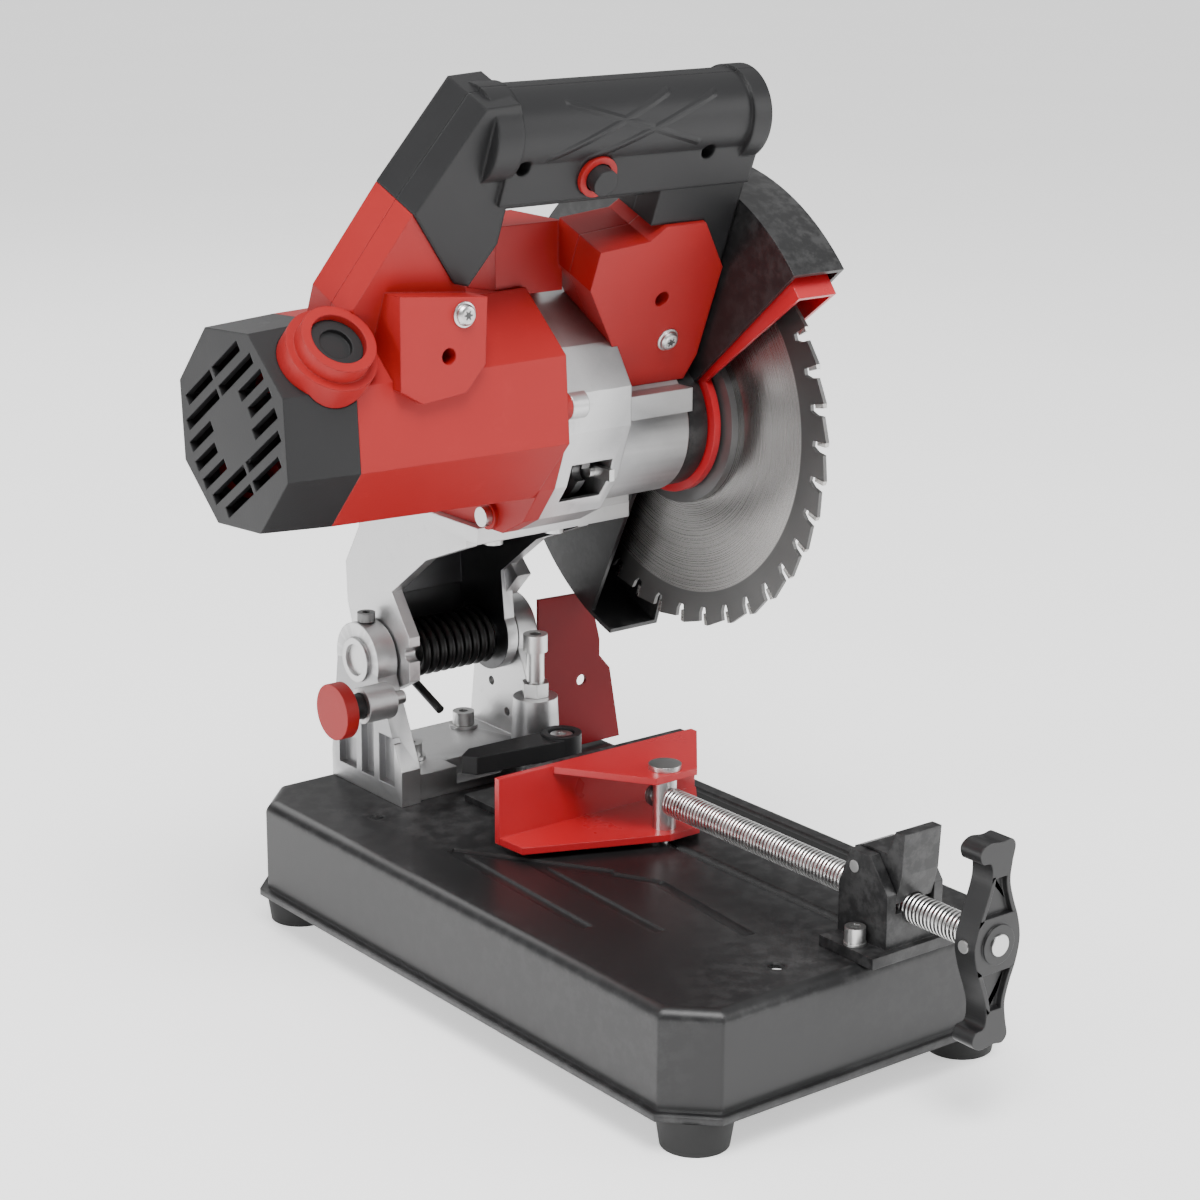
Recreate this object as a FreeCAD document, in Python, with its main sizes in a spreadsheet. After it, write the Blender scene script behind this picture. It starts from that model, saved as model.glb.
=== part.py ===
import FreeCAD, Part
import Sketcher
import math
import os

# Metal-cutting chop saw, head raised and vise nearly closed.
# X runs from the motor to the blade, Y from the vise handle back to the hinge, Z up.
# The floor is at Z = 0 under the middle of the base.  Millimetres.

V = FreeCAD.Vector
doc = FreeCAD.newDocument("chop_saw")

# ---------------------------------------------------------------- driving sizes
SIZES = [
    # base
    ("base_length", 313.0, "pressed pan, along Y, over its lip"),
    ("base_width", 179.0, "pressed pan, along X, over its lip"),
    ("base_top", 58.0, "height of the pan's top face"),
    ("lip_level", 14.7, "underside of the pan's lip"),
    ("lip_out", 3.0, "how far the lip flares out"),
    ("lip_tall", 3.0, "height of the flared lip"),
    ("corner_cut", 17.0, "leg of each cut corner of the pan"),
    ("sheet", 2.2, "pan sheet thickness"),
    ("top_round", 5.0, "radius along the pan's top edge"),
    ("groove_deep", 0.9, "depth of the pressed grooves"),
    ("groove_wide", 4.5, "width of the pressed grooves"),
    ("foot_reach", 20.5, "foot axis in from the lip, both ways"),
    ("foot_bottom_rad", 13.4, "foot radius on the floor"),
    ("foot_top_rad", 15.6, "foot radius under the pan"),
    ("foot_bolt_rad", 3.0, "bolt through each foot"),
    ("foot_recess_rad", 6.5, "recess in the foot for the bolt head"),
    ("gusset_thick", 2.5, "plate welded across each corner"),
    ("gusset_leg", 40.0, "gusset size"),
    # blade, spindle and motor lines
    ("blade_rad", 92.5, "saw blade, tip circle"),
    ("blade_thick", 1.8, "saw blade body"),
    ("blade_teeth", 36.0, "number of teeth"),
    ("gullet_deep", 8.0, "tooth height"),
    ("blade_x", 71.1, "mid plane of the blade"),
    ("spindle_y", 44.7, "spindle axis"),
    ("spindle_z", 227.6, "spindle axis"),
    ("gear_module", 1.0, "gear pair module"),
    ("pinion_teeth", 10.0, "motor pinion"),
    ("wheel_teeth", 40.0, "gear on the spindle"),
    ("motor_lean", 15.3, "motor axis above the spindle axis, leaning forward, degrees"),
    ("slot_wide", 12.0, "blade slot in the pan"),
    ("slot_front", -100.0, "front end of the blade slot"),
    ("slot_back", 62.0, "back end of the blade slot"),
    # hinge
    ("pivot_y", 128.0, "head pivot axis"),
    ("pivot_z", 117.5, "head pivot axis"),
    ("pivot_rad", 7.0, "pivot shaft"),
    ("head_swing", 46.0, "head travel down from rest, degrees"),
    ("ear_in", 33.0, "inner face of each hinge ear from the middle"),
    ("ear_thick", 10.0, "hinge ear"),
    ("ear_rad", 16.5, "rounded top of the ear"),
    ("bracket_front", 97.0, "front edge of the hinge bracket plate"),
    ("bracket_back", 150.0, "back edge of the hinge bracket plate"),
    ("bracket_thick", 12.0, "hinge bracket plate"),
    ("cheek_in", 26.5, "inner face of each arm cheek from the middle"),
    ("cheek_thick", 5.5, "arm cheek"),
    ("cheek_rad", 17.0, "arm cheek around the pivot"),
    ("arm_top", 191.0, "top of the arm's mounting plate"),
    ("arm_plate", 7.0, "arm mounting plate"),
    ("spring_wire", 1.9, "return spring wire radius"),
    ("spring_rad", 11.2, "return spring mean radius"),
    ("spring_left", -17.0, "left end of the coil"),
    ("spring_turns", 9.0, "turns of the coil"),
    ("spring_pitch", 4.4, "coil pitch"),
    ("pin_y", 107.0, "transport lock pin axis"),
    ("pin_z", 104.0, "transport lock pin axis"),
    ("pin_rad", 3.0, "transport lock pin"),
    ("pin_travel", 8.0, "transport lock pin push"),
    ("pin_boss_long", 12.5, "boss that carries the lock pin"),
    ("sleeve_rad", 5.6, "dark sleeve on the lock pin"),
    ("knob_rad", 12.3, "lock pin knob"),
    ("stop_x", 32.0, "depth stop screw axis"),
    ("stop_y", 98.0, "depth stop screw axis"),
    ("stop_top", 123.0, "top of the depth stop screw"),
    ("stop_rad", 4.0, "depth stop screw"),
    ("pedestal_top", 94.0, "top of the depth stop pedestal"),
    ("plate_y", 111.0, "front face of the spark plate"),
    ("plate_thick", 1.5, "spark plate sheet"),
    # vise
    ("vise_x", 24.0, "vise screw axis"),
    ("vise_z", 76.5, "vise screw axis"),
    ("screw_rad", 6.0, "vise screw over its threads"),
    ("screw_lead", 2.0, "vise screw lead"),
    ("jaw_pin_y", -4.0, "pin that joins screw and jaw"),
    ("jaw_pin_rad", 5.0, "pin that joins screw and jaw"),
    ("jaw_face", 29.5, "clamping face of the moving jaw"),
    ("jaw_left", -40.0, "left end of the moving jaw"),
    ("jaw_right", 66.0, "right end of the moving jaw"),
    ("jaw_low", 61.0, "underside of the moving jaw"),
    ("jaw_high", 90.0, "top of the moving jaw"),
    ("jaw_sheet", 3.0, "moving jaw thickness"),
    ("guide_wide", 5.0, "guide slot in the pan"),
    ("guide_front", -118.0, "front end of the guide slot"),
    ("guide_back", 14.0, "back end of the guide slot"),
    ("fence_face", 34.0, "clamping face of the fixed fence"),
    ("fence_left", -20.0, "left end of the fence"),
    ("fence_sheet", 3.0, "fence thickness"),
    ("fence_high", 88.0, "top of the fence"),
    ("lever_x", 30.0, "fence clamp lever axis"),
    ("lever_y", 76.0, "fence clamp lever axis"),
    ("lever_low", 74.0, "underside of the lever arm"),
    ("yoke_front", -158.0, "front edge of the screw bracket"),
    ("yoke_back", -128.0, "back edge of the screw bracket"),
    ("yoke_sheet", 4.5, "screw bracket thickness"),
    ("yoke_gap", 20.0, "inside width between the bracket's cheeks"),
    ("yoke_high", 98.0, "top of the bracket's cheeks"),
    ("nut_pin_z", 91.0, "half nut pivot"),
    ("nut_pin_y", -136.0, "half nut pivot"),
    ("wing_y", -193.0, "middle of the winged handle"),
    ("wing_long", 42.0, "length of each handle wing"),
    # gear case and motor
    ("case_left", -20.0, "joint between motor housing and gear case"),
    ("case_right", 12.0, "right face of the gear chamber"),
    ("nose_right", 50.0, "right end of the gear case nose"),
    ("nose_rad", 30.0, "gear case nose"),
    ("gear_room", 30.0, "radius of the chamber around the wheel"),
    ("pinion_room", 15.0, "radius of the chamber around the pinion"),
    ("flange_thick", 8.0, "motor housing flange and bearing wall"),
    ("shell_seam", -124.0, "joint between motor housing and end cap"),
    ("shell_left", -155.0, "outer face of the end cap"),
    ("shell_rad", 43.0, "octagon corner radius at the end cap"),
    ("shell_rad_flange", 46.0, "octagon corner radius at the flange"),
    ("shell_wall", 3.0, "motor housing wall"),
    ("shell_turn", 4.0, "roll of the octagon, degrees"),
    ("brush_x", -131.0, "brush axis"),
    ("brush_boss_rad", 15.0, "brush boss"),
    ("brush_cap_rad", 10.8, "brush cap"),
    ("stator_rad", 35.0, "stator"),
    ("rotor_rad", 20.0, "armature stack"),
    ("shaft_rad", 4.0, "armature shaft"),
    ("spindle_rad", 7.5, "spindle"),
    # guards
    ("guard_rad", 110.0, "upper guard"),
    ("guard_sheet", 2.0, "upper guard sheet"),
    ("guard_left", 59.0, "outer face of the guard's left plate"),
    ("guard_right", 86.0, "outer face of the guard's right plate"),
    ("guard_front_deg", 41.0, "front edge of the guard above the front level"),
    ("guard_back_deg", 244.0, "back edge of the left plate, same count"),
    ("guard_tail_deg", 252.0, "back edge of the rim and right plate, same count"),
    ("hub_rad", 26.0, "journal of the lower guard"),
    ("shield_rad", 104.0, "lower guard"),
    ("shield_sheet", 1.8, "lower guard sheet"),
    ("shield_front_deg", 37.0, "front edge of the lower guard at rest"),
    ("shield_back_deg", 162.0, "back edge of the lower guard at rest"),
    ("shield_swing", 118.0, "travel of the lower guard, degrees"),
    # handle
    ("handle_lean", 22.0, "handle leans forward from vertical, degrees"),
    ("grip_up", 120.0, "grip axis from the motor axis"),
    ("grip_rad", 17.0, "grip"),
    ("collar_rad", 19.0, "collars at the grip's ends"),
    ("grip_left", -76.0, "left end of the grip"),
    ("grip_right", 57.0, "right end of the grip"),
    ("leg_front", 12.0, "leg thickness in front of the handle plane"),
    ("leg_back", 14.0, "leg thickness behind the handle plane"),
    ("trigger_travel", 3.0, "trigger squeeze"),
    ("button_travel", 3.0, "lock-off button push"),
    # clearances
    ("run_gap", 0.05, "running fit between pin and bore, on radius"),
    ("free_gap", 0.4, "gap between pieces that pass each other"),
    ("seat_gap", 0.1, "gap under pieces that sit on each other"),
]

sheet = doc.addObject("Spreadsheet::Sheet", "Sizes")
for row, (alias, number, meaning) in enumerate(SIZES, start=1):
    sheet.set("A%d" % row, alias)
    sheet.set("B%d" % row, "%g" % number)
    sheet.set("C%d" % row, meaning)
    sheet.setAlias("B%d" % row, alias)
doc.recompute()


class Dim:
    """A size that keeps both its spreadsheet expression and its present value."""

    def __init__(self, text, value):
        self.text = text
        self.value = float(value)

    def mix(self, other, sign, value, flip=False):
        other = dim(other)
        first, second = (other, self) if flip else (self, other)
        return Dim("(%s %s %s)" % (first.text, sign, second.text), value)

    def __add__(self, other):
        return self.mix(other, "+", self.value + dim(other).value)

    def __radd__(self, other):
        return self.mix(other, "+", self.value + dim(other).value, True)

    def __sub__(self, other):
        return self.mix(other, "-", self.value - dim(other).value)

    def __rsub__(self, other):
        return self.mix(other, "-", dim(other).value - self.value, True)

    def __mul__(self, other):
        return self.mix(other, "*", self.value * dim(other).value)

    def __rmul__(self, other):
        return self.mix(other, "*", self.value * dim(other).value, True)

    def __truediv__(self, other):
        return self.mix(other, "/", self.value / dim(other).value)

    def __neg__(self):
        return Dim("(0 - %s)" % self.text, -self.value)


def dim(value):
    return value if isinstance(value, Dim) else Dim("%g" % value, value)


def sine(degrees):
    degrees = dim(degrees)
    return Dim("sin(%s * 1deg)" % degrees.text, math.sin(math.radians(degrees.value)))


def cosine(degrees):
    degrees = dim(degrees)
    return Dim("cos(%s * 1deg)" % degrees.text, math.cos(math.radians(degrees.value)))


class Sheet:
    """Sizes by name."""

    def __getattr__(self, alias):
        return Dim("Sizes.%s" % alias, float(sheet.get(alias)))


S = Sheet()

# ---------------------------------------------------------------- building blocks
ALONG = {
    "x": FreeCAD.Rotation(V(0, 1, 0), 90),
    "y": FreeCAD.Rotation(V(1, 0, 0), -90),
    "z": FreeCAD.Rotation(),
}
PLANES = {
    "yz": (FreeCAD.Rotation(V(1, 1, 1), 120), V(1, 0, 0), 0),
    "xz": (FreeCAD.Rotation(V(1, 0, 0), 90), V(0, 1, 0), 1),
    "xy": (FreeCAD.Rotation(), V(0, 0, 1), 2),
}
counter = {}


def fresh(label):
    counter[label] = counter.get(label, 0) + 1
    return "%s_%d" % (label, counter[label])


def bind(item, **props):
    for prop, size in props.items():
        item.setExpression(prop, dim(size).text)
    return item


def put(item, x, y, z, rotation=None):
    item.Placement = FreeCAD.Placement(V(0, 0, 0), rotation or FreeCAD.Rotation())
    for axis, size in (("x", x), ("y", y), ("z", z)):
        item.setExpression("Placement.Base.%s" % axis, dim(size).text)
    return item


def box(label, x0, x1, y0, y1, z0, z1):
    item = doc.addObject("Part::Box", fresh(label))
    bind(item, Length=dim(x1) - x0, Width=dim(y1) - y0, Height=dim(z1) - z0)
    return put(item, x0, y0, z0)


def rod(label, axis, x, y, z, radius, length):
    item = doc.addObject("Part::Cylinder", fresh(label))
    bind(item, Radius=radius, Height=length)
    return put(item, x, y, z, ALONG[axis])


def taper(label, axis, x, y, z, radius_from, radius_to, length):
    item = doc.addObject("Part::Cone", fresh(label))
    bind(item, Radius1=radius_from, Radius2=radius_to, Height=length)
    return put(item, x, y, z, ALONG[axis])


def ball(label, x, y, z, radius):
    item = doc.addObject("Part::Sphere", fresh(label))
    bind(item, Radius=radius)
    return put(item, x, y, z)


def hexagon(label, axis, x, y, z, across_flats, length):
    item = doc.addObject("Part::Prism", fresh(label))
    item.Polygon = 6
    bind(item, Circumradius=dim(across_flats) / (2 * cosine(30)), Height=length)
    return put(item, x, y, z, ALONG[axis])


def outline(label, rotation, origin, points):
    """A closed sketch of straight lines, with every corner held by its own sizes."""
    sketch = doc.addObject("Sketcher::SketchObject", fresh(label + "_sketch"))
    put(sketch, origin[0], origin[1], origin[2], rotation)
    corners = [(dim(a), dim(b)) for a, b in points]
    count = len(corners)
    for index, (a, b) in enumerate(corners):
        c, d = corners[(index + 1) % count]
        start = V(a.value, b.value, 0)
        end = V(c.value, d.value, 0)
        sketch.addGeometry(Part.LineSegment(start, end), False)
    for index in range(count):
        sketch.addConstraint(Sketcher.Constraint("Coincident", index, 2, (index + 1) % count, 1))
    for index, (a, b) in enumerate(corners):
        for kind, size in (("DistanceX", a), ("DistanceY", b)):
            rule = sketch.addConstraint(Sketcher.Constraint(kind, -1, 1, index, 1, size.value))
            sketch.setExpression("Constraints[%d]" % rule, size.text)
    return sketch


def prism(label, plane, points, start, end):
    """An outline in one of the main planes, extruded from start to end."""
    rotation, direction, slot = PLANES[plane]
    origin = [0, 0, 0]
    origin[slot] = start
    item = doc.addObject("Part::Extrusion", fresh(label))
    item.Base = outline(label, rotation, origin, points)
    item.DirMode = "Custom"
    item.Dir = direction
    item.Solid = True
    return bind(item, LengthFwd=dim(end) - start)


def cut(label, body, *tools):
    whole = tools[0] if len(tools) == 1 else join(label + "_tools", *tools)
    item = doc.addObject("Part::Cut", fresh(label))
    item.Base = body
    item.Tool = whole
    return item


def join(label, *pieces):
    if len(pieces) == 1:
        return pieces[0]
    item = doc.addObject("Part::MultiFuse", fresh(label))
    item.Shapes = list(pieces)
    item.Refine = True
    return item


def overlap(label, first, second):
    item = doc.addObject("Part::Common", fresh(label))
    item.Base = first
    item.Tool = second
    return item


def group(label, *pieces):
    item = doc.addObject("Part::Compound", fresh(label))
    item.Links = list(pieces)
    return item


def edge_round(label, body, radius, wanted):
    """Rounds the edges for which wanted(edge) is true."""
    doc.recompute()
    edges = body.Shape.Edges
    picked = [index + 1 for index, edge in enumerate(edges) if wanted(edge)]
    item = doc.addObject("Part::Fillet", fresh(label))
    item.Base = body
    item.Edges = [(index, radius.value, radius.value) for index in picked]
    return item


def sector(label, x, y, z, radius, length, from_deg, to_deg):
    """A slice of a disc on an X axis; angles count up from the front."""
    item = doc.addObject("Part::Cylinder", fresh(label))
    bind(item, Radius=radius, Height=length, Angle=dim(to_deg) - from_deg)
    turn = FreeCAD.Rotation(V(1, 0, 0), 270 - dim(to_deg).value)
    return put(item, x, y, z, turn.multiply(ALONG["x"]))


def ring(label, axis, x, y, z, outer, inner, length):
    return cut(label, rod(label, axis, x, y, z, outer, length), rod(label, axis, x, y, z, inner, length))


def cap_screw(label, axis_sign, x, y, z, radius, head_rad, head_tall, length):
    """A socket screw along Z; z is the seat under the head, and axis_sign gives the way of the head."""
    up = axis_sign > 0
    head_from = z if up else dim(z) - head_tall
    shank_from = dim(z) - length if up else z
    socket_from = dim(z) + head_tall / 2 if up else dim(z) - head_tall
    body = join(
        label,
        rod(label, "z", x, y, head_from, head_rad, head_tall),
        rod(label, "z", x, y, shank_from, radius, length),
    )
    return cut(label, body, hexagon(label, "z", x, y, socket_from, radius * 1.3, dim(head_tall) / 2))


nodes = {}


def node(label, item):
    item.Label = label
    nodes[label] = item
    return item


# ---------------------------------------------------------------- base pan and feet
half_w = S.base_width / 2
half_l = S.base_length / 2


def pan_outline(inset, cut_leg):
    """Rectangle with four cut corners, inset from the lip's outline."""
    w = half_w - inset
    p = half_l - inset
    c = cut_leg
    return [(w, -p + c), (w, p - c), (w - c, p), (-w + c, p), (-w, p - c), (-w, -p + c), (-w + c, -p), (w - c, -p)]


wall_in = S.lip_out
shell = prism("pan", "xy", pan_outline(wall_in, S.corner_cut), S.lip_level, S.base_top)
shell = edge_round("pan", shell, S.top_round, lambda edge: edge.BoundBox.ZMin > S.base_top.value - 0.01)
hollow = prism("pan", "xy", pan_outline(wall_in + S.sheet, S.corner_cut), S.lip_level - 1, S.base_top - S.sheet)
hollow = edge_round(
    "pan", hollow, S.top_round - S.sheet,
    lambda edge: edge.BoundBox.ZMin > S.base_top.value - S.sheet.value - 0.01,
)
lip = cut(
    "pan_lip",
    prism("pan", "xy", pan_outline(0, S.corner_cut + 1), S.lip_level, S.lip_level + S.lip_tall),
    prism("pan", "xy", pan_outline(wall_in + S.sheet / 2, S.corner_cut), S.lip_level - 1, S.lip_level + 2 * S.lip_tall),
)


def slot(label, x, y0, y1, wide):
    """A slot along Y with round ends, right through the pan's top."""
    low = S.base_top - 2 * S.sheet
    tall = 4 * S.sheet
    return join(
        label,
        box(label, x - wide / 2, x + wide / 2, y0 + wide / 2, y1 - wide / 2, low, low + tall),
        rod(label, "z", x, y0 + wide / 2, low, wide / 2, tall),
        rod(label, "z", x, y1 - wide / 2, low, wide / 2, tall),
    )


def groove(label, start, end):
    """A pressed groove in the pan's top between two points."""
    (ax, ay), (bx, by) = start, end
    length = math.hypot(bx - ax, by - ay)
    side = (-(by - ay) / length, (bx - ax) / length)
    half = S.groove_wide / 2
    points = [
        (ax - half * side[0], ay - half * side[1]),
        (bx - half * side[0], by - half * side[1]),
        (bx + half * side[0], by + half * side[1]),
        (ax + half * side[0], ay + half * side[1]),
    ]
    return prism(label, "xy", points, S.base_top - S.groove_deep, S.base_top + 1)


# two nested pressed arrows on the pan's top, left of the vise screw
GROOVES = [
    ((-55, 40), (-16, -20)),
    ((-55, 40), (-60, -60)),
    ((-36, 10), (-8, -40)),
    ((-36, 10), (-40, -80)),
    ((-8, -40), (-14, -104)),
]
lever_bolt_hole = rod("pan_hole", "z", S.lever_x, S.lever_y, S.base_top - 2 * S.sheet, 4.2, 4 * S.sheet)
pan_tools = [
    hollow,
    slot("blade_slot", S.blade_x, S.slot_front, S.slot_back, S.slot_wide),
    slot("guide_slot", S.vise_x, S.guide_front, S.guide_back, S.guide_wide),
    lever_bolt_hole,
]
for hole_x, hole_y in ((-26.0, -133.0), (-58.0, 92.0)):
    pan_tools.append(rod("pan_hole", "z", hole_x, hole_y, S.base_top - 2 * S.sheet, 3.2, 4 * S.sheet))
for start, end in GROOVES:
    pan_tools.append(groove("pan_groove", start, end))
bracket_bolt_places = [(-22.0, 118.0), (22.0, 140.0), (-22.0, 141.0)]
for bolt_x, bolt_y in bracket_bolt_places:
    pan_tools.append(rod("pan_hole", "z", bolt_x, bolt_y, S.base_top - 2 * S.sheet, 3.3, 4 * S.sheet))
yoke_mid = (S.yoke_front + S.yoke_back) / 2
yoke_bolt_places = [(4.6, yoke_mid), (43.4, yoke_mid)]
for bolt_x, bolt_y in yoke_bolt_places:
    pan_tools.append(rod("pan_hole", "z", bolt_x, bolt_y, S.base_top - 2 * S.sheet, 3.3, 4 * S.sheet))
pan = cut("pan", join("pan", shell, lip), *pan_tools)
node("base_pan", pan)

foot_x = half_w - S.foot_reach
foot_y = half_l - S.foot_reach + 1.5
CORNERS = ((-1, -1), (1, -1), (-1, 1), (1, 1))
gusset_top = S.lip_level + S.gusset_thick
gussets = []
feet = []
foot_bolts = []
inside = wall_in + S.sheet + S.seat_gap
for sx, sy in CORNERS:
    fx = sx * foot_x
    fy = sy * foot_y
    foot = cut(
        "foot",
        taper("foot", "z", fx, fy, 0, S.foot_bottom_rad, S.foot_top_rad, S.lip_level - S.seat_gap),
        rod("foot", "z", fx, fy, -1, S.foot_bolt_rad + S.free_gap / 2, S.lip_level + 2),
        rod("foot", "z", fx, fy, -1, S.foot_recess_rad, 7),
    )
    feet.append(foot)
    ix = sx * (half_w - inside)
    iy = sy * (half_l - inside)
    c = S.corner_cut
    leg = S.gusset_leg
    corner = [(ix, iy - sy * c), (ix - sx * c, iy), (ix - sx * leg, iy), (ix - sx * leg, iy - sy * leg), (ix, iy - sy * leg)]
    plate = prism("gusset", "xy", corner, S.lip_level, gusset_top)
    gussets.append(cut("gusset", plate, rod("gusset", "z", fx, fy, S.lip_level - 1, S.foot_bolt_rad + 0.2, 6)))
    head_seat = 6 - S.seat_gap
    bolt = cap_screw("foot_bolt", -1, fx, fy, head_seat, S.foot_bolt_rad, S.foot_recess_rad - 1, 3, gusset_top - head_seat + 7)
    nut = cut(
        "foot_nut",
        hexagon("foot_nut", "z", fx, fy, gusset_top + S.seat_gap, 10, 5),
        rod("foot_nut", "z", fx, fy, gusset_top, S.foot_bolt_rad + S.run_gap, 7),
    )
    foot_bolts.append(bolt)
    foot_bolts.append(nut)
node("rubber_feet", group("rubber_feet", *feet))
node("corner_gussets", group("corner_gussets", *gussets))
node("foot_bolts", group("foot_bolts", *foot_bolts))

# ---------------------------------------------------------------- hinge bracket
ear_out = S.ear_in + S.ear_thick
top = S.base_top + S.seat_gap
plate_top = top + S.bracket_thick


def ear(sign):
    x0 = sign * S.ear_in if sign > 0 else -ear_out
    x1 = x0 + S.ear_thick
    front = S.bracket_front - 2.5
    points = [
        (front, top),
        (S.bracket_back, top),
        (S.bracket_back, top + 12),
        (S.pivot_y + S.ear_rad * 0.98, S.pivot_z - 3),
        (S.pivot_y - S.ear_rad * 0.95, S.pivot_z - 5),
        (front, top + 16),
    ]
    return join(
        "ear",
        prism("ear", "yz", points, x0, x1),
        rod("ear", "x", x0, S.pivot_y, S.pivot_z, S.ear_rad, S.ear_thick),
    )


boss_left = -ear_out - S.pin_boss_long
bracket = join(
    "hinge_bracket",
    box("hinge_bracket", -ear_out, ear_out, S.bracket_front, S.bracket_back, top, plate_top),
    ear(-1),
    ear(1),
    rod("hinge_bracket", "x", boss_left, S.pin_y, S.pin_z, 8.0, S.pin_boss_long + 2),
    rod("hinge_bracket", "x", -ear_out - 1.5, S.pivot_y, S.pivot_z, 10.0, 3),
    taper("hinge_bracket", "z", S.stop_x, S.stop_y, top, 11.8, 10.0, S.pedestal_top - top),
)
bracket_tools = [
    rod("hinge_bracket", "x", -ear_out - 3, S.pivot_y, S.pivot_z, S.pivot_rad + S.run_gap, 2 * ear_out + 6),
    rod("hinge_bracket", "x", boss_left - 1, S.pin_y, S.pin_z, S.pin_rad + S.run_gap, S.pin_boss_long + S.ear_thick + 4),
    rod("hinge_bracket", "z", S.stop_x, S.stop_y, S.pedestal_top - 22, S.stop_rad + 0.1, 30),
    box("hinge_bracket", -12, 12, S.bracket_front - 1, S.bracket_front + 10, top + 4, plate_top + 1),
    rod("hinge_bracket", "x", boss_left - 1, S.pin_y, S.pin_z, S.sleeve_rad + S.free_gap / 2, S.pin_boss_long),
    rod("hinge_bracket", "z", -ear_out + S.ear_thick / 2, S.pivot_y, S.pivot_z + S.pivot_rad - 1, 2.6, S.ear_rad),
]
spark_bolt_places = [(S.plate_y + 10, 80.0), (S.plate_y + 22, 92.0)]
for bolt_y, bolt_z in spark_bolt_places:
    bracket_tools.append(rod("hinge_bracket", "x", S.ear_in - 1, bolt_y, bolt_z, 2.05, S.ear_thick + 2))
for bolt_x, bolt_y in bracket_bolt_places:
    bracket_tools.append(rod("hinge_bracket", "z", bolt_x, bolt_y, top - 1, 3.3, S.bracket_thick + 2))
# hollow pockets in the left ear's foot
for pocket_from, pocket_to, low, high in ((100, 112, 66, 88), (116, 126, 66, 92), (130, 144, 66, 80)):
    bracket_tools.append(box("ear_pocket", -ear_out - 1, -ear_out + 3.5, pocket_from, pocket_to, low, high))
node("hinge_bracket", cut("hinge_bracket", bracket, *bracket_tools))

bolts = []
for bolt_x, bolt_y in bracket_bolt_places:
    bolts.append(cap_screw("bracket_bolt", 1, bolt_x, bolt_y, plate_top + 1.6, 3.0, 5.0, 6.0, 26))
    washer = ring("bracket_bolt", "z", bolt_x, bolt_y, plate_top + S.seat_gap, 6.5, 3.2, 1.4)
    bolts.append(washer)
node("pivot_shaft", rod("pivot_shaft", "x", -ear_out, S.pivot_y, S.pivot_z, S.pivot_rad, 2 * ear_out))
set_seat = S.pivot_z + S.ear_rad + 0.3
set_screw = cap_screw("pivot_set_screw", 1, -ear_out + S.ear_thick / 2, S.pivot_y, set_seat, 2.5, 4.0, 4.0, S.ear_rad - S.pivot_rad)
node("pivot_set_screw", set_screw)

stop_thread = S.stop_top - 8 - (S.pedestal_top - 20)
stop = cap_screw("stop_screw", 1, S.stop_x, S.stop_y, S.stop_top - 8, S.stop_rad, 5.5, 8.0, stop_thread)
node("stop_screw", stop)
stop_nut = cut(
    "stop_nut",
    hexagon("stop_nut", "z", S.stop_x, S.stop_y, S.pedestal_top + S.seat_gap, 11, 6.5),
    rod("stop_nut", "z", S.stop_x, S.stop_y, S.pedestal_top, S.stop_rad + S.run_gap, 8),
)
node("stop_nut", stop_nut)

# return spring around the pivot shaft, with one leg on the bracket and one on the arm
coil_long = S.spring_turns * S.spring_pitch
helix = doc.addObject("Part::Helix", "spring_helix")
bind(helix, Radius=S.spring_rad, Pitch=S.spring_pitch, Height=coil_long)
wire = doc.addObject("Part::Circle", "spring_wire_circle")
bind(wire, Radius=S.spring_wire)
put(wire, S.spring_rad, 0, 0, FreeCAD.Rotation(V(1, 0, 0), 90))
coil = doc.addObject("Part::Sweep", "spring_sweep")
coil.Sections = [wire]
coil.Spine = (helix, ["Edge1"])
coil.Solid = True
coil.Frenet = True
# the helix starts straight below the shaft and winds to the right
put(coil, S.spring_left, S.pivot_y, S.pivot_z, ALONG["x"])
leg_low = S.pivot_z - S.spring_rad
front_leg = doc.addObject("Part::Cylinder", "spring_leg_front")
bind(front_leg, Radius=S.spring_wire, Height=28)
lean = FreeCAD.Rotation(V(1, 0, 0), 112)
put(front_leg, S.spring_left, S.pivot_y, leg_low, lean)
back_leg = rod("spring_leg", "y", S.spring_left + coil_long, S.pivot_y, leg_low, S.spring_wire, 14)
node("return_spring", join("return_spring", coil, front_leg, back_leg))

# spark plate behind the blade
plate_points = [
    (ear_out + S.free_gap, 59.5),
    (90.5, 59.5),
    (84.5, 94),
    (78.5, 101),
    (78.5, 109),
    (72.5, 132.5),
    (ear_out + S.free_gap, 133.5),
]
plate_back = S.plate_y + S.plate_thick
spark = join(
    "spark_plate",
    prism("spark_plate", "xz", plate_points, S.plate_y, plate_back),
    box("spark_plate", ear_out + S.seat_gap, ear_out + S.seat_gap + S.plate_thick, S.plate_y, S.plate_y + 28, 72, 108),
)
spark_tools = [rod("spark_plate", "y", 68, S.plate_y - 1, 91, 2.6, 4)]
for bolt_y, bolt_z in spark_bolt_places:
    spark_tools.append(rod("spark_plate", "x", ear_out - 1, bolt_y, bolt_z, 2.2, 5))
node("spark_plate", cut("spark_plate", spark, *spark_tools))
spark_screws = []
for bolt_y, bolt_z in spark_bolt_places:
    seat = ear_out + S.plate_thick + 2 * S.seat_gap
    spark_screws.append(join(
        "spark_screw",
        rod("spark_screw", "x", seat, bolt_y, bolt_z, 4.0, 2.5),
        rod("spark_screw", "x", seat - 9, bolt_y, bolt_z, 2.0, 9.5),
    ))
node("spark_plate_screws", group("spark_plate_screws", *spark_screws))

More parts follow.
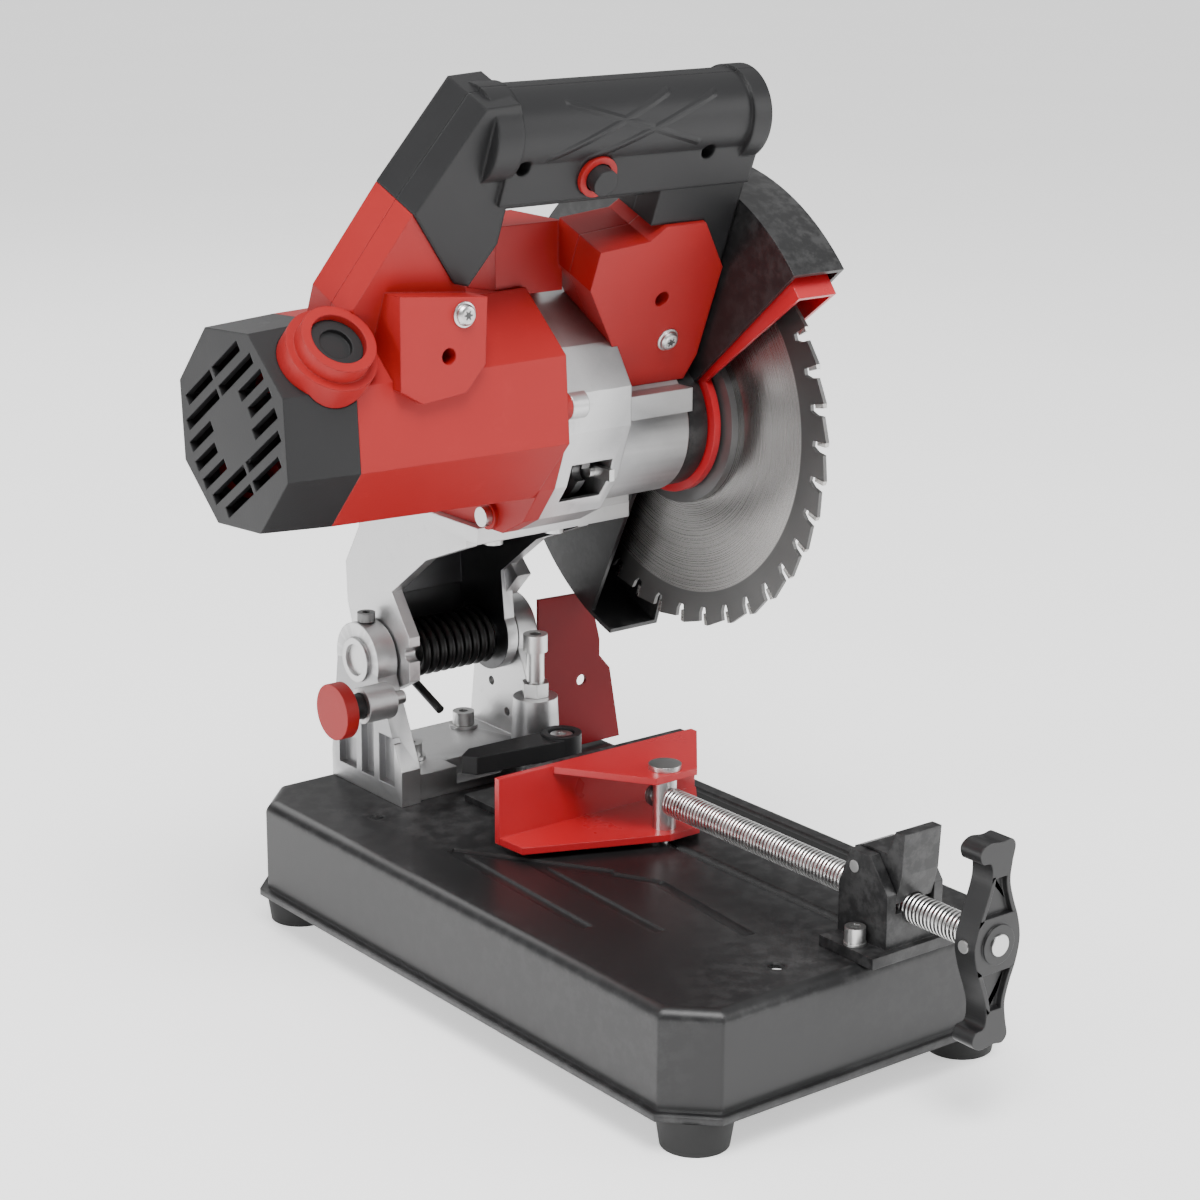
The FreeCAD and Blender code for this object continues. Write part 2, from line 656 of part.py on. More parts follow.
# transport lock pin: knob, dark sleeve and steel pin, pushed in along X
knob_in = boss_left - S.pin_travel - S.free_gap
pin_left = knob_in - 2
pin_right = -S.ear_in - 0.5
node("lock_pin", rod("lock_pin", "x", pin_left, S.pin_y, S.pin_z, S.pin_rad, pin_right - pin_left))
node("lock_knob", cut(
    "lock_knob",
    rod("lock_knob", "x", knob_in - 6, S.pin_y, S.pin_z, S.knob_rad, 6),
    rod("lock_knob", "x", pin_left, S.pin_y, S.pin_z, S.pin_rad, 4),
))
sleeve_long = boss_left + 1 - knob_in
node("lock_sleeve", ring("lock_sleeve", "x", knob_in, S.pin_y, S.pin_z, S.sleeve_rad, S.pin_rad, sleeve_long))

# ---------------------------------------------------------------- vise
fence_low = S.base_top + S.seat_gap
fence_back = S.fence_face + S.fence_sheet
fence_right = S.jaw_right
fence = join(
    "fence",
    box("fence", S.fence_left, fence_right, S.fence_face, fence_back, fence_low, S.fence_high),
    box("fence", S.fence_left + 4, fence_right - 6, fence_back - 1, S.lever_y + 9.5, fence_low, fence_low + S.fence_sheet),
)
fence_slot = join(
    "fence_slot",
    box("fence_slot", S.lever_x - 12, S.lever_x + 12, S.lever_y - 4.4, S.lever_y + 4.4, fence_low - 1, fence_low + 6),
    rod("fence_slot", "z", S.lever_x - 12, S.lever_y, fence_low - 1, 4.4, 7),
    rod("fence_slot", "z", S.lever_x + 12, S.lever_y, fence_low - 1, 4.4, 7),
)
node("fence", cut("fence", fence, fence_slot))

# clamp lever on the fence's bolt
hub_low = fence_low + S.fence_sheet + S.seat_gap
lever_root = (S.lever_x - 2, S.lever_y + 1)
LEVER_PATH = [(S.lever_x - 4, S.lever_y - 8), (S.lever_x - 48, S.lever_y - 3), (S.lever_x - 52, S.lever_y + 3),
              (S.lever_x - 44, S.lever_y + 9), (S.lever_x - 4, S.lever_y + 8)]
lever = join(
    "clamp_lever",
    rod("clamp_lever", "z", S.lever_x, S.lever_y, hub_low, 9.0, 22),
    prism("clamp_lever", "xy", LEVER_PATH, S.lever_low, S.lever_low + 8),
)
lever_bore = rod("clamp_lever", "z", S.lever_x, S.lever_y, hub_low - 1, 3.05, 30)
lever_sink = rod("clamp_lever", "z", S.lever_x, S.lever_y, hub_low + 17, 6.0, 10)
node("clamp_lever", cut("clamp_lever", lever, lever_bore, lever_sink))
clamp_bolt = join(
    "clamp_bolt",
    cap_screw("clamp_bolt", 1, S.lever_x, S.lever_y, hub_low + 17 + S.seat_gap, 3.0, 5.0, 4.0, 30),
    rod("clamp_bolt", "z", S.lever_x, S.lever_y, S.base_top - S.sheet - 7, 7.0, 6.5),
)
node("clamp_bolt", clamp_bolt)

# moving jaw: web, top flange and bottom flange
flange_root = S.jaw_face - S.jaw_sheet - 1
TOP_FLANGE = [(S.vise_x - 36, S.jaw_face), (S.vise_x - 36, flange_root), (S.vise_x - 11, S.jaw_pin_y - 8),
              (S.vise_x + 11, S.jaw_pin_y - 8), (S.jaw_right, flange_root), (S.jaw_right, S.jaw_face)]
LOW_FLANGE = [(S.jaw_left, S.jaw_face), (S.jaw_left + 1, flange_root - 14), (S.vise_x - 4, S.jaw_pin_y - 9),
              (S.vise_x + 12, S.jaw_pin_y - 9), (S.jaw_right, flange_root), (S.jaw_right, S.jaw_face)]
jaw = join(
    "moving_jaw",
    box("moving_jaw", S.jaw_left, S.jaw_right, S.jaw_face - S.jaw_sheet, S.jaw_face, S.jaw_low, S.jaw_high),
    prism("moving_jaw", "xy", TOP_FLANGE, S.jaw_high - S.jaw_sheet, S.jaw_high),
    prism("moving_jaw", "xy", LOW_FLANGE, S.jaw_low, S.jaw_low + S.jaw_sheet),
)
jaw_bore = rod("moving_jaw", "z", S.vise_x, S.jaw_pin_y, S.jaw_low - 1, S.jaw_pin_rad, S.jaw_high - S.jaw_low + 2)
node("moving_jaw", cut("moving_jaw", jaw, jaw_bore))

# riveted pin: head on the jaw, tail in the pan's guide slot, cross bore for the screw's journal
journal_rad = 3.0
tail_rad = S.guide_wide / 2 - 0.3
pin_low = S.jaw_low - 1
pin = join(
    "jaw_pin",
    rod("jaw_pin", "z", S.vise_x, S.jaw_pin_y, S.jaw_high + S.seat_gap, 7.0, 2.2),
    rod("jaw_pin", "z", S.vise_x, S.jaw_pin_y, pin_low, S.jaw_pin_rad, S.jaw_high - pin_low + 1),
    rod("jaw_pin", "z", S.vise_x, S.jaw_pin_y, S.base_top - S.sheet - 3, tail_rad, S.jaw_low - S.base_top + S.sheet + 4),
)
cross = rod("jaw_pin", "y", S.vise_x, S.jaw_pin_y - 10, S.vise_z, journal_rad + S.run_gap, 20)
node("jaw_pin", cut("jaw_pin", pin, cross))
node("pin_clip", ring("pin_clip", "z", S.vise_x, S.jaw_pin_y, S.base_top - S.sheet - 2.0, 5.5, tail_rad, 1.2))

# threaded screw with a plain journal through the pin
screw_front = S.wing_y - 6
screw_back = S.jaw_pin_y - S.jaw_pin_rad - 0.6
screw = join(
    "vise_screw",
    rod("vise_screw", "y", S.vise_x, screw_front, S.vise_z, S.screw_rad, screw_back - screw_front),
    rod("vise_screw", "y", S.vise_x, screw_back - 1, S.vise_z, journal_rad, 2 * S.jaw_pin_rad + 6),
)
node("screw_clip", ring(
    "screw_clip", "y", S.vise_x, S.jaw_pin_y + S.jaw_pin_rad + 0.5, S.vise_z, 5.0, journal_rad, 1.5,
))

# winged handle, pinned across the screw's front end
hub_rad = 12.0
hub_long = 16.0
wing_front = S.wing_y - hub_long / 2


def wing(sign):
    tip = sign * S.wing_long
    root = sign * hub_rad * 0.6
    profile = [(-8, root), (8, root), (4.5, tip * 0.62), (9, tip * 0.86), (7.5, tip), (-7.5, tip), (-9, tip * 0.86),
               (-4.5, tip * 0.62)]
    points = [(S.vise_x + a, S.vise_z + b) for a, b in profile]
    if sign < 0:
        points.reverse()
    return prism("vise_handle", "xz", points, wing_front + 2, wing_front + hub_long - 3)


handle = join(
    "vise_handle",
    rod("vise_handle", "y", S.vise_x, wing_front, S.vise_z, hub_rad, hub_long),
    wing(1),
    wing(-1),
)
handle_bore = rod("vise_handle", "y", S.vise_x, wing_front + 2, S.vise_z, S.screw_rad, hub_long)
pin_bore = rod("vise_handle", "x", S.vise_x - 20, S.wing_y, S.vise_z, 2.5, 40)
node("vise_handle", cut("vise_handle", handle, handle_bore, pin_bore))
node("vise_screw", cut("vise_screw", screw, rod("vise_screw", "x", S.vise_x - 20, S.wing_y, S.vise_z, 2.5, 40)))
node("handle_pin", rod("handle_pin", "x", S.vise_x - hub_rad - 0.3, S.wing_y, S.vise_z, 2.5, 2 * hub_rad + 0.6))

# screw bracket: foot plate, two cheeks and a saddle under the screw
yoke_low = S.base_top + S.seat_gap
yoke_top = yoke_low + S.yoke_sheet
cheek_at = S.yoke_gap / 2
cheek_wide = 4.5
cheek_front = S.yoke_front + 3
CHEEK = [(cheek_front, yoke_low), (S.yoke_back, yoke_low), (S.yoke_back, S.vise_z + 6), (S.yoke_back - 6, S.yoke_high),
         (cheek_front + 10, S.yoke_high), (cheek_front, S.vise_z + 8)]
yoke = join(
    "screw_bracket",
    box("screw_bracket", S.vise_x - 24, S.vise_x + 24, S.yoke_front, S.yoke_back, yoke_low, yoke_top),
    prism("screw_bracket", "yz", CHEEK, S.vise_x - cheek_at - cheek_wide, S.vise_x - cheek_at),
    prism("screw_bracket", "yz", CHEEK, S.vise_x + cheek_at, S.vise_x + cheek_at + cheek_wide),
    box("screw_bracket", S.vise_x - cheek_at - 1, S.vise_x + cheek_at + 1, cheek_front, S.yoke_back, yoke_low, S.vise_z),
)
yoke_tools = [rod("screw_bracket", "y", S.vise_x, S.yoke_front - 1, S.vise_z, S.screw_rad + 0.1, 40)]
for bolt_x, bolt_y in yoke_bolt_places:
    yoke_tools.append(rod("screw_bracket", "z", bolt_x, bolt_y, yoke_low - 1, 3.3, 8))
yoke_tools.append(rod("screw_bracket", "x", S.vise_x - 20, S.nut_pin_y, S.nut_pin_z, 2.5, 40))
node("screw_bracket", cut("screw_bracket", yoke, *yoke_tools))
for bolt_x, bolt_y in yoke_bolt_places:
    bolts.append(cap_screw("screw_bracket_bolt", 1, bolt_x, bolt_y, yoke_top + 1.4, 3.0, 4.1, 6.0, 14))
    bolts.append(ring("screw_bracket_bolt", "z", bolt_x, bolt_y, yoke_top + S.seat_gap, 4.4, 3.1, 1.2))
node("base_bolts", group("base_bolts", *bolts))

# quick-release half nut with a thumb tab, hinged between the cheeks
nut_half = S.yoke_gap / 2 - S.free_gap
NUT = [(-154, 80), (-135, 80), (-131, 97), (-136, 99), (-149, 99), (-153, 109), (-158, 109), (-157, 92)]
half_nut = cut(
    "half_nut",
    prism("half_nut", "yz", [(S.nut_pin_y + 136 + a, S.nut_pin_z - 91 + b) for a, b in NUT], S.vise_x - nut_half, S.vise_x + nut_half),
    rod("half_nut", "y", S.vise_x, -170, S.vise_z, S.screw_rad + S.free_gap, 60),
    rod("half_nut", "x", S.vise_x - 20, S.nut_pin_y, S.nut_pin_z, 2.5 + S.run_gap, 40),
)
node("half_nut", half_nut)
node("half_nut_pin", rod(
    "half_nut_pin", "x", S.vise_x - cheek_at - cheek_wide, S.nut_pin_y, S.nut_pin_z, 2.5, 2 * cheek_at + 2 * cheek_wide,
))

# ---------------------------------------------------------------- swing arm
cheek_out = S.cheek_in + S.cheek_thick
arm_low = S.arm_top - S.arm_plate
LEFT_CHEEK = [(60, arm_low + 1), (60, arm_low - 3), (90, 169), (116.5, 149), (103.5, 131), (103.5, 111),
              (116, 104), (142, 107), (152, 137), (153, 155), (142, 173), (140, arm_low + 1)]
RIGHT_CHEEK = [(60, arm_low + 1), (60, arm_low - 3), (90, 169), (116.5, 149), (112, 112), (142, 107),
               (152, 137), (153, 155), (142, 173), (140, arm_low + 1)]
locked = S.head_swing
hole_y = S.pivot_y + (S.pin_y - S.pivot_y) * cosine(locked) + (S.pin_z - S.pivot_z) * sine(locked)
hole_z = S.pivot_z - (S.pin_y - S.pivot_y) * sine(locked) + (S.pin_z - S.pivot_z) * cosine(locked)
# pad that lands on the stop screw: square to it when the head is down
pad = box("stop_pad", S.cheek_in + 2, S.stop_x + S.stop_rad, 0, 16, 0, 9)
pad_from_y = S.stop_y - 7 - S.pivot_y
pad_from_z = S.stop_top + 0.3 - S.pivot_z
put(
    pad,
    S.cheek_in + 2,
    S.pivot_y + pad_from_y * cosine(locked) + pad_from_z * sine(locked),
    S.pivot_z - pad_from_y * sine(locked) + pad_from_z * cosine(locked),
    FreeCAD.Rotation(V(1, 0, 0), -S.head_swing.value),
)
arm = join(
    "swing_arm",
    prism("swing_arm", "yz", LEFT_CHEEK, -cheek_out, -S.cheek_in),
    prism("swing_arm", "yz", RIGHT_CHEEK, S.cheek_in, cheek_out),
    rod("swing_arm", "x", -cheek_out, S.pivot_y, S.pivot_z, S.cheek_rad, S.cheek_thick),
    rod("swing_arm", "x", S.cheek_in, S.pivot_y, S.pivot_z, S.cheek_rad, S.cheek_thick),
    box("swing_arm", -cheek_out, S.nose_right - 2, 52, 140, arm_low, S.arm_top),
    prism("swing_arm", "yz", [(147, 137), (152, 137), (153, 155), (142, 173), (140, arm_low + 1), (135, arm_low + 1), (137, 172), (148, 154)],
          -cheek_out, cheek_out),
    prism("swing_arm", "yz", [(88, arm_low + 1), (140, arm_low + 1), (140, 170), (120, 160)], -2, 2),
    pad,
)
arm_tools = [
    rod("swing_arm", "x", -cheek_out - 1, S.pivot_y, S.pivot_z, S.pivot_rad + S.run_gap, 2 * cheek_out + 2),
    rod("swing_arm", "x", -cheek_out - 1, hole_y, hole_z, S.pin_rad + S.free_gap, S.cheek_thick + 2),
]
arm_bolt_places = [(-14.0, 66.0), (18.0, 66.0), (-14.0, 92.0), (18.0, 92.0)]
for bolt_x, bolt_y in arm_bolt_places:
    arm_tools.append(rod("swing_arm", "z", bolt_x, bolt_y, arm_low - 5, 2.7, 20))
node("swing_arm", cut("swing_arm", arm, *arm_tools))

# ---------------------------------------------------------------- gear case
lean = S.motor_lean
centre_gap = (S.pinion_teeth + S.wheel_teeth) * S.gear_module / 2
motor_y = S.spindle_y - centre_gap * sine(lean)
motor_z = S.spindle_z + centre_gap * cosine(lean)
case_low = S.arm_top + S.seat_gap
# outline of the gear chamber and of the motor flange, relative to the spindle axis
ROOM = [(-39, 10), (-39, 26), (-28, 43), (-10, 58), (6, 70), (18, 73.4), (36, 73.4), (50, 62), (54, 42), (54, -12),
        (47, -36.5), (-5, -36.5), (-19, -29), (-30, -14)]
room_points = [(S.spindle_y + a, S.spindle_z + b) for a, b in ROOM]
ledge_top = S.spindle_z + 19.4
case = join(
    "gear_case",
    prism("gear_case", "yz", room_points, S.case_left, S.case_right),
    rod("gear_case", "x", S.case_right - 1, S.spindle_y, S.spindle_z, S.nose_rad, S.nose_right - S.case_right + 1),
    box("gear_case", S.case_right - 1, S.nose_right, S.spindle_y - 32, S.spindle_y + 32, ledge_top - 10, ledge_top),
    box("gear_case", S.case_right - 1, S.nose_right - 4, S.spindle_y + 5, S.spindle_y + 52, case_low, case_low + 14),
)
wall = 5.0
lock_y = 21.5
lock_z = 216.5
lock_pin_rad = 2.5
bearing_rad = 16.0
bearing_long = 9.0
bearing_x = S.nose_right - 3 - bearing_long
case_tools = [
    rod("gear_case", "x", S.case_left - 1, S.spindle_y, S.spindle_z, S.gear_room, S.case_right - S.case_left - wall + 1),
    rod("gear_case", "x", S.case_left - 1, motor_y, motor_z, S.pinion_room, S.case_right - S.case_left - wall + 1),
    rod("gear_case", "x", S.case_right - wall - 2, S.spindle_y, S.spindle_z, 13.0, S.nose_right - S.case_right + 10),
    rod("gear_case", "x", bearing_x, S.spindle_y, S.spindle_z, bearing_rad, 30),
    # window on the front for the spindle lock
    box("gear_case", -14, S.case_right - wall, S.spindle_y - 45, S.spindle_y - 14, 206, 223),
    rod("gear_case", "x", S.case_right - wall - 1, lock_y, lock_z, lock_pin_rad + S.run_gap, wall + 3),
]
for bolt_x, bolt_y in arm_bolt_places:
    case_tools.append(rod("gear_case", "z", bolt_x, bolt_y, case_low - 1, 2.55, 10))
guard_screw_places = []
for index in range(3):
    turn = math.radians(60 + 120 * index)
    guard_screw_places.append((S.spindle_y - 21.5 * math.cos(turn), S.spindle_z + 21.5 * math.sin(turn)))
for screw_y, screw_z in guard_screw_places:
    case_tools.append(rod("gear_case", "x", S.nose_right - 10, screw_y, screw_z, 2.05, 12))
flange_screw_places = [(60.8, 296.0), (8.0, 249.0), (48.0, 197.0), (93.0, 246.0)]
lug_rad = 5.8
lugs = [rod("lug", "x", S.case_left, a, b, lug_rad, 8) for a, b in flange_screw_places]
case = join("gear_case", case, *lugs)
for screw_y, screw_z in flange_screw_places:
    case_tools.append(rod("gear_case", "x", S.case_left - 1, screw_y, screw_z, 2.05, 14))
node("gear_case", cut("gear_case", case, *case_tools))

arm_bolts = []
for bolt_x, bolt_y in arm_bolt_places:
    arm_bolts.append(cap_screw("arm_bolt", -1, bolt_x, bolt_y, arm_low - S.seat_gap, 2.5, 4.3, 5.0, S.arm_plate + 7))
node("arm_bolts", group("arm_bolts", *arm_bolts))

bearings = [
    ring("bearing", "x", bearing_x + S.seat_gap, S.spindle_y, S.spindle_z, bearing_rad, S.spindle_rad + S.run_gap, bearing_long - S.seat_gap),
    ring("bearing", "x", S.case_left - 7.5, S.spindle_y, S.spindle_z, 11.0, 5.0 + S.run_gap, 7),
]

# ---------------------------------------------------------------- motor housing
def octagon(radius, centre_y, centre_z):
    """Eight corners in the YZ plane, rolled a little, as sizes."""
    points = []
    for index in range(8):
        angle = 22.5 + 45 * index + S.shell_turn
        points.append((centre_y - radius * cosine(angle), centre_z + radius * sine(angle)))
    return points


def octagon_tube(label, radius_left, radius_right, x0, x1):
    """A lofted octagon between two X positions."""
    item = doc.addObject("Part::Loft", fresh(label))
    rotation = PLANES["yz"][0]
    item.Sections = [
        outline(label, rotation, (x0, 0, 0), octagon(radius_left, motor_y, motor_z)),
        outline(label, rotation, (x1, 0, 0), octagon(radius_right, motor_y, motor_z)),
    ]
    item.Solid = True
    item.Ruled = True
    return item


flange_left = S.case_left - S.flange_thick
housing = join(
    "motor_housing",
    octagon_tube("motor_housing", S.shell_rad, S.shell_rad_flange, S.shell_seam, flange_left),
    prism("motor_housing", "yz", room_points, flange_left, S.case_left - S.seat_gap),
)
boss_dir = FreeCAD.Rotation(V(1, 0, 0), 45)
boss_reach = 54.0
boss_base = 30.0


def slanted_rod(label, x, reach_from, reach_to, radius, sign=1):
    """A rod square to the motor axis, leaning 45 degrees forward and up from it."""
    item = doc.addObject("Part::Cylinder", fresh(label))
    bind(item, Radius=radius, Height=dim(reach_to) - reach_from)
    shift = sign * dim(reach_from) * cosine(45)
    turn = 45 if sign > 0 else 225
    return put(item, x, motor_y - shift, motor_z + shift, FreeCAD.Rotation(V(1, 0, 0), turn))


brush_bosses = join(
    "brush_boss",
    slanted_rod("brush_boss", S.brush_x, boss_base, boss_reach, S.brush_boss_rad),
    slanted_rod("brush_boss", S.brush_x, boss_base, boss_reach - 7, S.brush_boss_rad + 3.5),
    slanted_rod("brush_boss", S.brush_x, boss_base, boss_reach - 7, S.brush_boss_rad, -1),
    box("brush_boss", S.brush_x, S.shell_seam + 6, motor_y - 34, motor_y - 24, motor_z + 20, motor_z + 36),
    box("brush_boss", S.brush_x, S.shell_seam + 6, motor_y + 24, motor_y + 34, motor_z - 34, motor_z - 22),
)
housing_tools = [
    rod("motor_housing", "x", S.shell_seam - 30, motor_y, motor_z, S.stator_rad + 0.5, flange_left - S.shell_seam + 24),
    rod("motor_housing", "x", flange_left - 7, motor_y, motor_z, 11.0, 20),
    rod("motor_housing", "x", flange_left - 1, S.spindle_y, S.spindle_z, 6.0, 20),
    rod("motor_housing", "x", S.case_left - 7.6, S.spindle_y, S.spindle_z, 11.0, 20),
    slanted_rod("brush_boss", S.brush_x, boss_base - 8, boss_reach + 1, S.brush_cap_rad + 0.2),
    slanted_rod("brush_boss", S.brush_x, boss_base - 8, boss_reach + 1, S.brush_cap_rad + 0.2, -1),
]
# louvres that let the fan's air out below and behind
for index in range(6):
    vent_x = -44 + 3.0 * index
    housing_tools.append(box("vent", vent_x, vent_x + 1.4, motor_y + 26, motor_y + 60, motor_z - 14, motor_z + 14))
for screw_y, screw_z in flange_screw_places:
    housing_tools.append(rod("motor_housing", "x", flange_left - 1, screw_y, screw_z, 2.3, S.flange_thick + 2))
    housing_tools.append(rod("motor_housing", "x", flange_left - 24, screw_y, screw_z, 5.0, 22))
    housing_tools.append(rod("motor_housing", "x", flange_left - 3, screw_y, screw_z, 2.3, 10))
lugs = [rod("lug", "x", flange_left - 2, a, b, lug_rad, S.flange_thick + 2 - S.seat_gap) for a, b in flange_screw_places]
housing_solid = cut("motor_housing", join("motor_housing", housing, brush_bosses, *lugs), *housing_tools)

screws = []
for screw_y, screw_z in flange_screw_places:
    screws.append(join(
        "flange_screw",
        rod("flange_screw", "x", flange_left - 5.2, screw_y, screw_z, 4.2, 3.2 - S.seat_gap),
        rod("flange_screw", "x", flange_left - 3, screw_y, screw_z, 2.0, S.flange_thick + 14),
    ))
node("flange_screws", group("flange_screws", *screws))


# ---------------------------------------------------------------- handle frame of reference
def at_handle(up, back):
    """Y and Z of a point in the handle's own plane: up from the motor axis, back from the plane."""
    y = motor_y - dim(up) * sine(S.handle_lean) + dim(back) * cosine(S.handle_lean)
    z = motor_z + dim(up) * cosine(S.handle_lean) + dim(back) * sine(S.handle_lean)
    return y, z


def slab(label, points, front, back):
    """An outline in the handle's plane (X, up), thick by front and back of the plane."""
    y, z = at_handle(0, back)
    rotation = FreeCAD.Rotation(V(1, 0, 0), 90 + S.handle_lean.value)
    item = doc.addObject("Part::Extrusion", fresh(label))
    item.Base = outline(label, rotation, (0, y, z), points)
    item.DirMode = "Normal"
    item.Solid = True
    return bind(item, LengthFwd=dim(front) + back)


def bar(label, x0, x1, up, back, radius):
    """A rod along X placed in the handle's plane."""
    y, z = at_handle(up, back)
    return rod(label, "x", x0, y, z, radius, dim(x1) - x0)


def plug(label, x, up, back_from, back_to, radius):
    """A rod square to the handle's plane."""
    y, z = at_handle(up, back_from)
    item = doc.addObject("Part::Cylinder", fresh(label))
    bind(item, Radius=radius, Height=dim(back_to) - back_from)
    return put(item, x, y, z, FreeCAD.Rotation(V(1, 0, 0), S.handle_lean.value - 90))


def block(label, x0, x1, up0, up1, front, back):
    return slab(label, [(x0, up0), (x1, up0), (x1, up1), (x0, up1)], front, back)


# ---------------------------------------------------------------- handle
grip_low = S.grip_up - 25
LEFT_LEG = [(-103, 94), (-122, 52), (-122, 22), (-68, 22), (-70, 60), (-77, 62)]
RIGHT_LEG = [(-10, 69.5), (14, 72), (21, 78), (41, 78), (S.grip_right, 56), (S.grip_right, 14), (50, -8), (28, -8),
             (8, 26), (-10, 52)]
LEFT_ELBOW = [(-81, 136), (-103, 94.2), (-77, 62.2), (-70, 60.2), (-61, 78), (-61, 98), (-60, 125), (-66, 137)]
RIGHT_ELBOW = [(14, 104), (14, 78.2), (41, 78.2), (S.grip_right, 56.2), (S.grip_right, 122), (36, 130)]
shell_air = octagon_tube("shell_air", S.shell_rad + 0.1, S.shell_rad_flange + 0.1, S.shell_seam, flange_left)
case_air = join(
    "case_air",
    prism("case_air", "yz", room_points, flange_left - 0.1, S.case_right + 0.1),
    rod("case_air", "x", S.case_right - 1, S.spindle_y, S.spindle_z, S.nose_rad + 0.1, S.nose_right - S.case_right + 20),
    box("case_air", S.case_right - 1, S.nose_right + 20, S.spindle_y - 34, S.spindle_y + 34, ledge_top - 20, ledge_top + 0.2),
)
head_rooms = [rod("head_room", "x", flange_left - 24, a, b, 5.0, 24) for a, b in flange_screw_places]
FOOT_PAD = [(-108, 268), (-98, 262), (-78, 264), (-69, 274), (-68, 300), (-108, 304)]
frame_whole = join(
    "handle_frame",
    slab("handle_frame", LEFT_LEG, S.leg_front, S.leg_back),
    slab("handle_frame", RIGHT_LEG, S.leg_front + 3, S.leg_back),
    prism("handle_frame", "xz", FOOT_PAD, S.spindle_y - 51, S.spindle_y - 20),
    box("handle_frame", -41, -8, 26, 61, 292, 320),
)
screw_spots = [(-59.0, 111.0, S.leg_front), (31.0, 111.0, S.leg_front), (29.0, 44.0, S.leg_front)]
screw_bores = []
handle_screws = []
for spot_x, spot_up, _ in screw_spots:
    screw_bores.append(plug("screw_bore", spot_x, spot_up, -20, -5, 3.4))
    screw_bores.append(plug("screw_bore", spot_x, spot_up, -6, 11, 1.7))
    handle_screws.append(join(
        "handle_screw",
        plug("handle_screw", spot_x, spot_up, -7.2, -5 - S.seat_gap, 3.1),
        plug("handle_screw", spot_x, spot_up, -6, 10.5, 1.6),
    ))
far = 400
front_side = slab("front_side", [(-far, -far), (far, -far), (far, far), (-far, far)], 90, 0)
back_side = slab("back_side", [(-far, -far), (far, -far), (far, far), (-far, far)], -S.seat_gap, 90)
boss_air = slanted_rod("boss_air", S.brush_x, 20, boss_reach + 8, S.brush_boss_rad + S.seat_gap)
frame_whole = cut("handle_frame", frame_whole, shell_air, case_air, boss_air, housing_solid,
                  nodes["gear_case"], rod("handle_frame", "y", -86, -20, 279, 3.2, 26), *head_rooms, *screw_bores)
node("handle_frame_front", overlap("handle_frame_front", frame_whole, front_side))
node("handle_frame_back", overlap("handle_frame_back", frame_whole, back_side))
node("handle_screws", group("handle_screws", *handle_screws))

trigger_low = grip_low - 6.5
trigger_high = grip_low + 4
trigger_left = -60.0
trigger_right = 12.0
button_x = -23.0
button_up = S.grip_up - 15
button_rad = 5.5
grip_whole = join(
    "grip",
    bar("grip", S.grip_left, S.grip_right, S.grip_up, 0, S.grip_rad),
    block("grip", S.grip_left + 10, S.grip_right, grip_low, S.grip_up + 4, 15, 14),
    slab("grip", LEFT_ELBOW, S.leg_front + 1, S.leg_back),
    slab("grip", RIGHT_ELBOW, S.leg_front + 1, S.leg_back),
    bar("grip", S.grip_left, S.grip_left + 12, S.grip_up - 1, 0, S.collar_rad),
    bar("grip", S.grip_right - 9, S.grip_right, S.grip_up - 1, 0, S.collar_rad),
)
grip_whole = cut(
    "grip",
    grip_whole,
    block("grip", trigger_left - S.free_gap, trigger_right + S.free_gap, grip_low - 30,
          trigger_high + S.trigger_travel + S.free_gap, 6 + S.free_gap, 6 + S.free_gap),
    block("grip", -46, -4, S.grip_up - 10, S.grip_up + 8, 8, 8),
    plug("grip", button_x, button_up, -30, -7, 8.6),
    *screw_bores,
)
node("grip_front", overlap("grip_front", grip_whole, front_side))
node("grip_back", overlap("grip_back", grip_whole, back_side))
node("switch", block("switch", -44, -6, S.grip_up - 9, S.grip_up + 7, 7, 7))
node("trigger", join(
    "trigger",
    block("trigger", trigger_left, trigger_right, trigger_low, trigger_high, 6, 6),
))
bezel_front = -17.0
node("button_bezel", cut(
    "button_bezel",
    plug("button_bezel", button_x, button_up, bezel_front, -8, 8.5),
    plug("button_bezel", button_x, button_up, bezel_front - 1, -7, button_rad + S.free_gap),
))
node("lock_off_button", join(
    "lock_off_button",
    plug("lock_off_button", button_x, button_up, -22, -12, button_rad),
))

# ---------------------------------------------------------------- motor: end cap and internals
cap_wall = 3.0
end_cap = octagon_tube("end_cap", S.shell_rad - 2.0, S.shell_rad, S.shell_left, S.shell_seam - S.seat_gap)
end_cap_tools = [
    rod("end_cap", "x", S.shell_left + cap_wall, motor_y, motor_z, S.stator_rad, 60),
    slanted_rod("end_cap", S.brush_x, 20, 60, S.brush_boss_rad + 3.5 + S.seat_gap),
    slanted_rod("end_cap", S.brush_x, 20, 60, S.brush_boss_rad + S.seat_gap, -1),
    box("end_cap", S.brush_x - 1, S.shell_seam + 7, motor_y - 60, motor_y - 23, motor_z + 19, motor_z + 60),
    box("end_cap", S.brush_x - 1, S.shell_seam + 7, motor_y + 23, motor_y + 60, motor_z - 60, motor_z - 21),
]
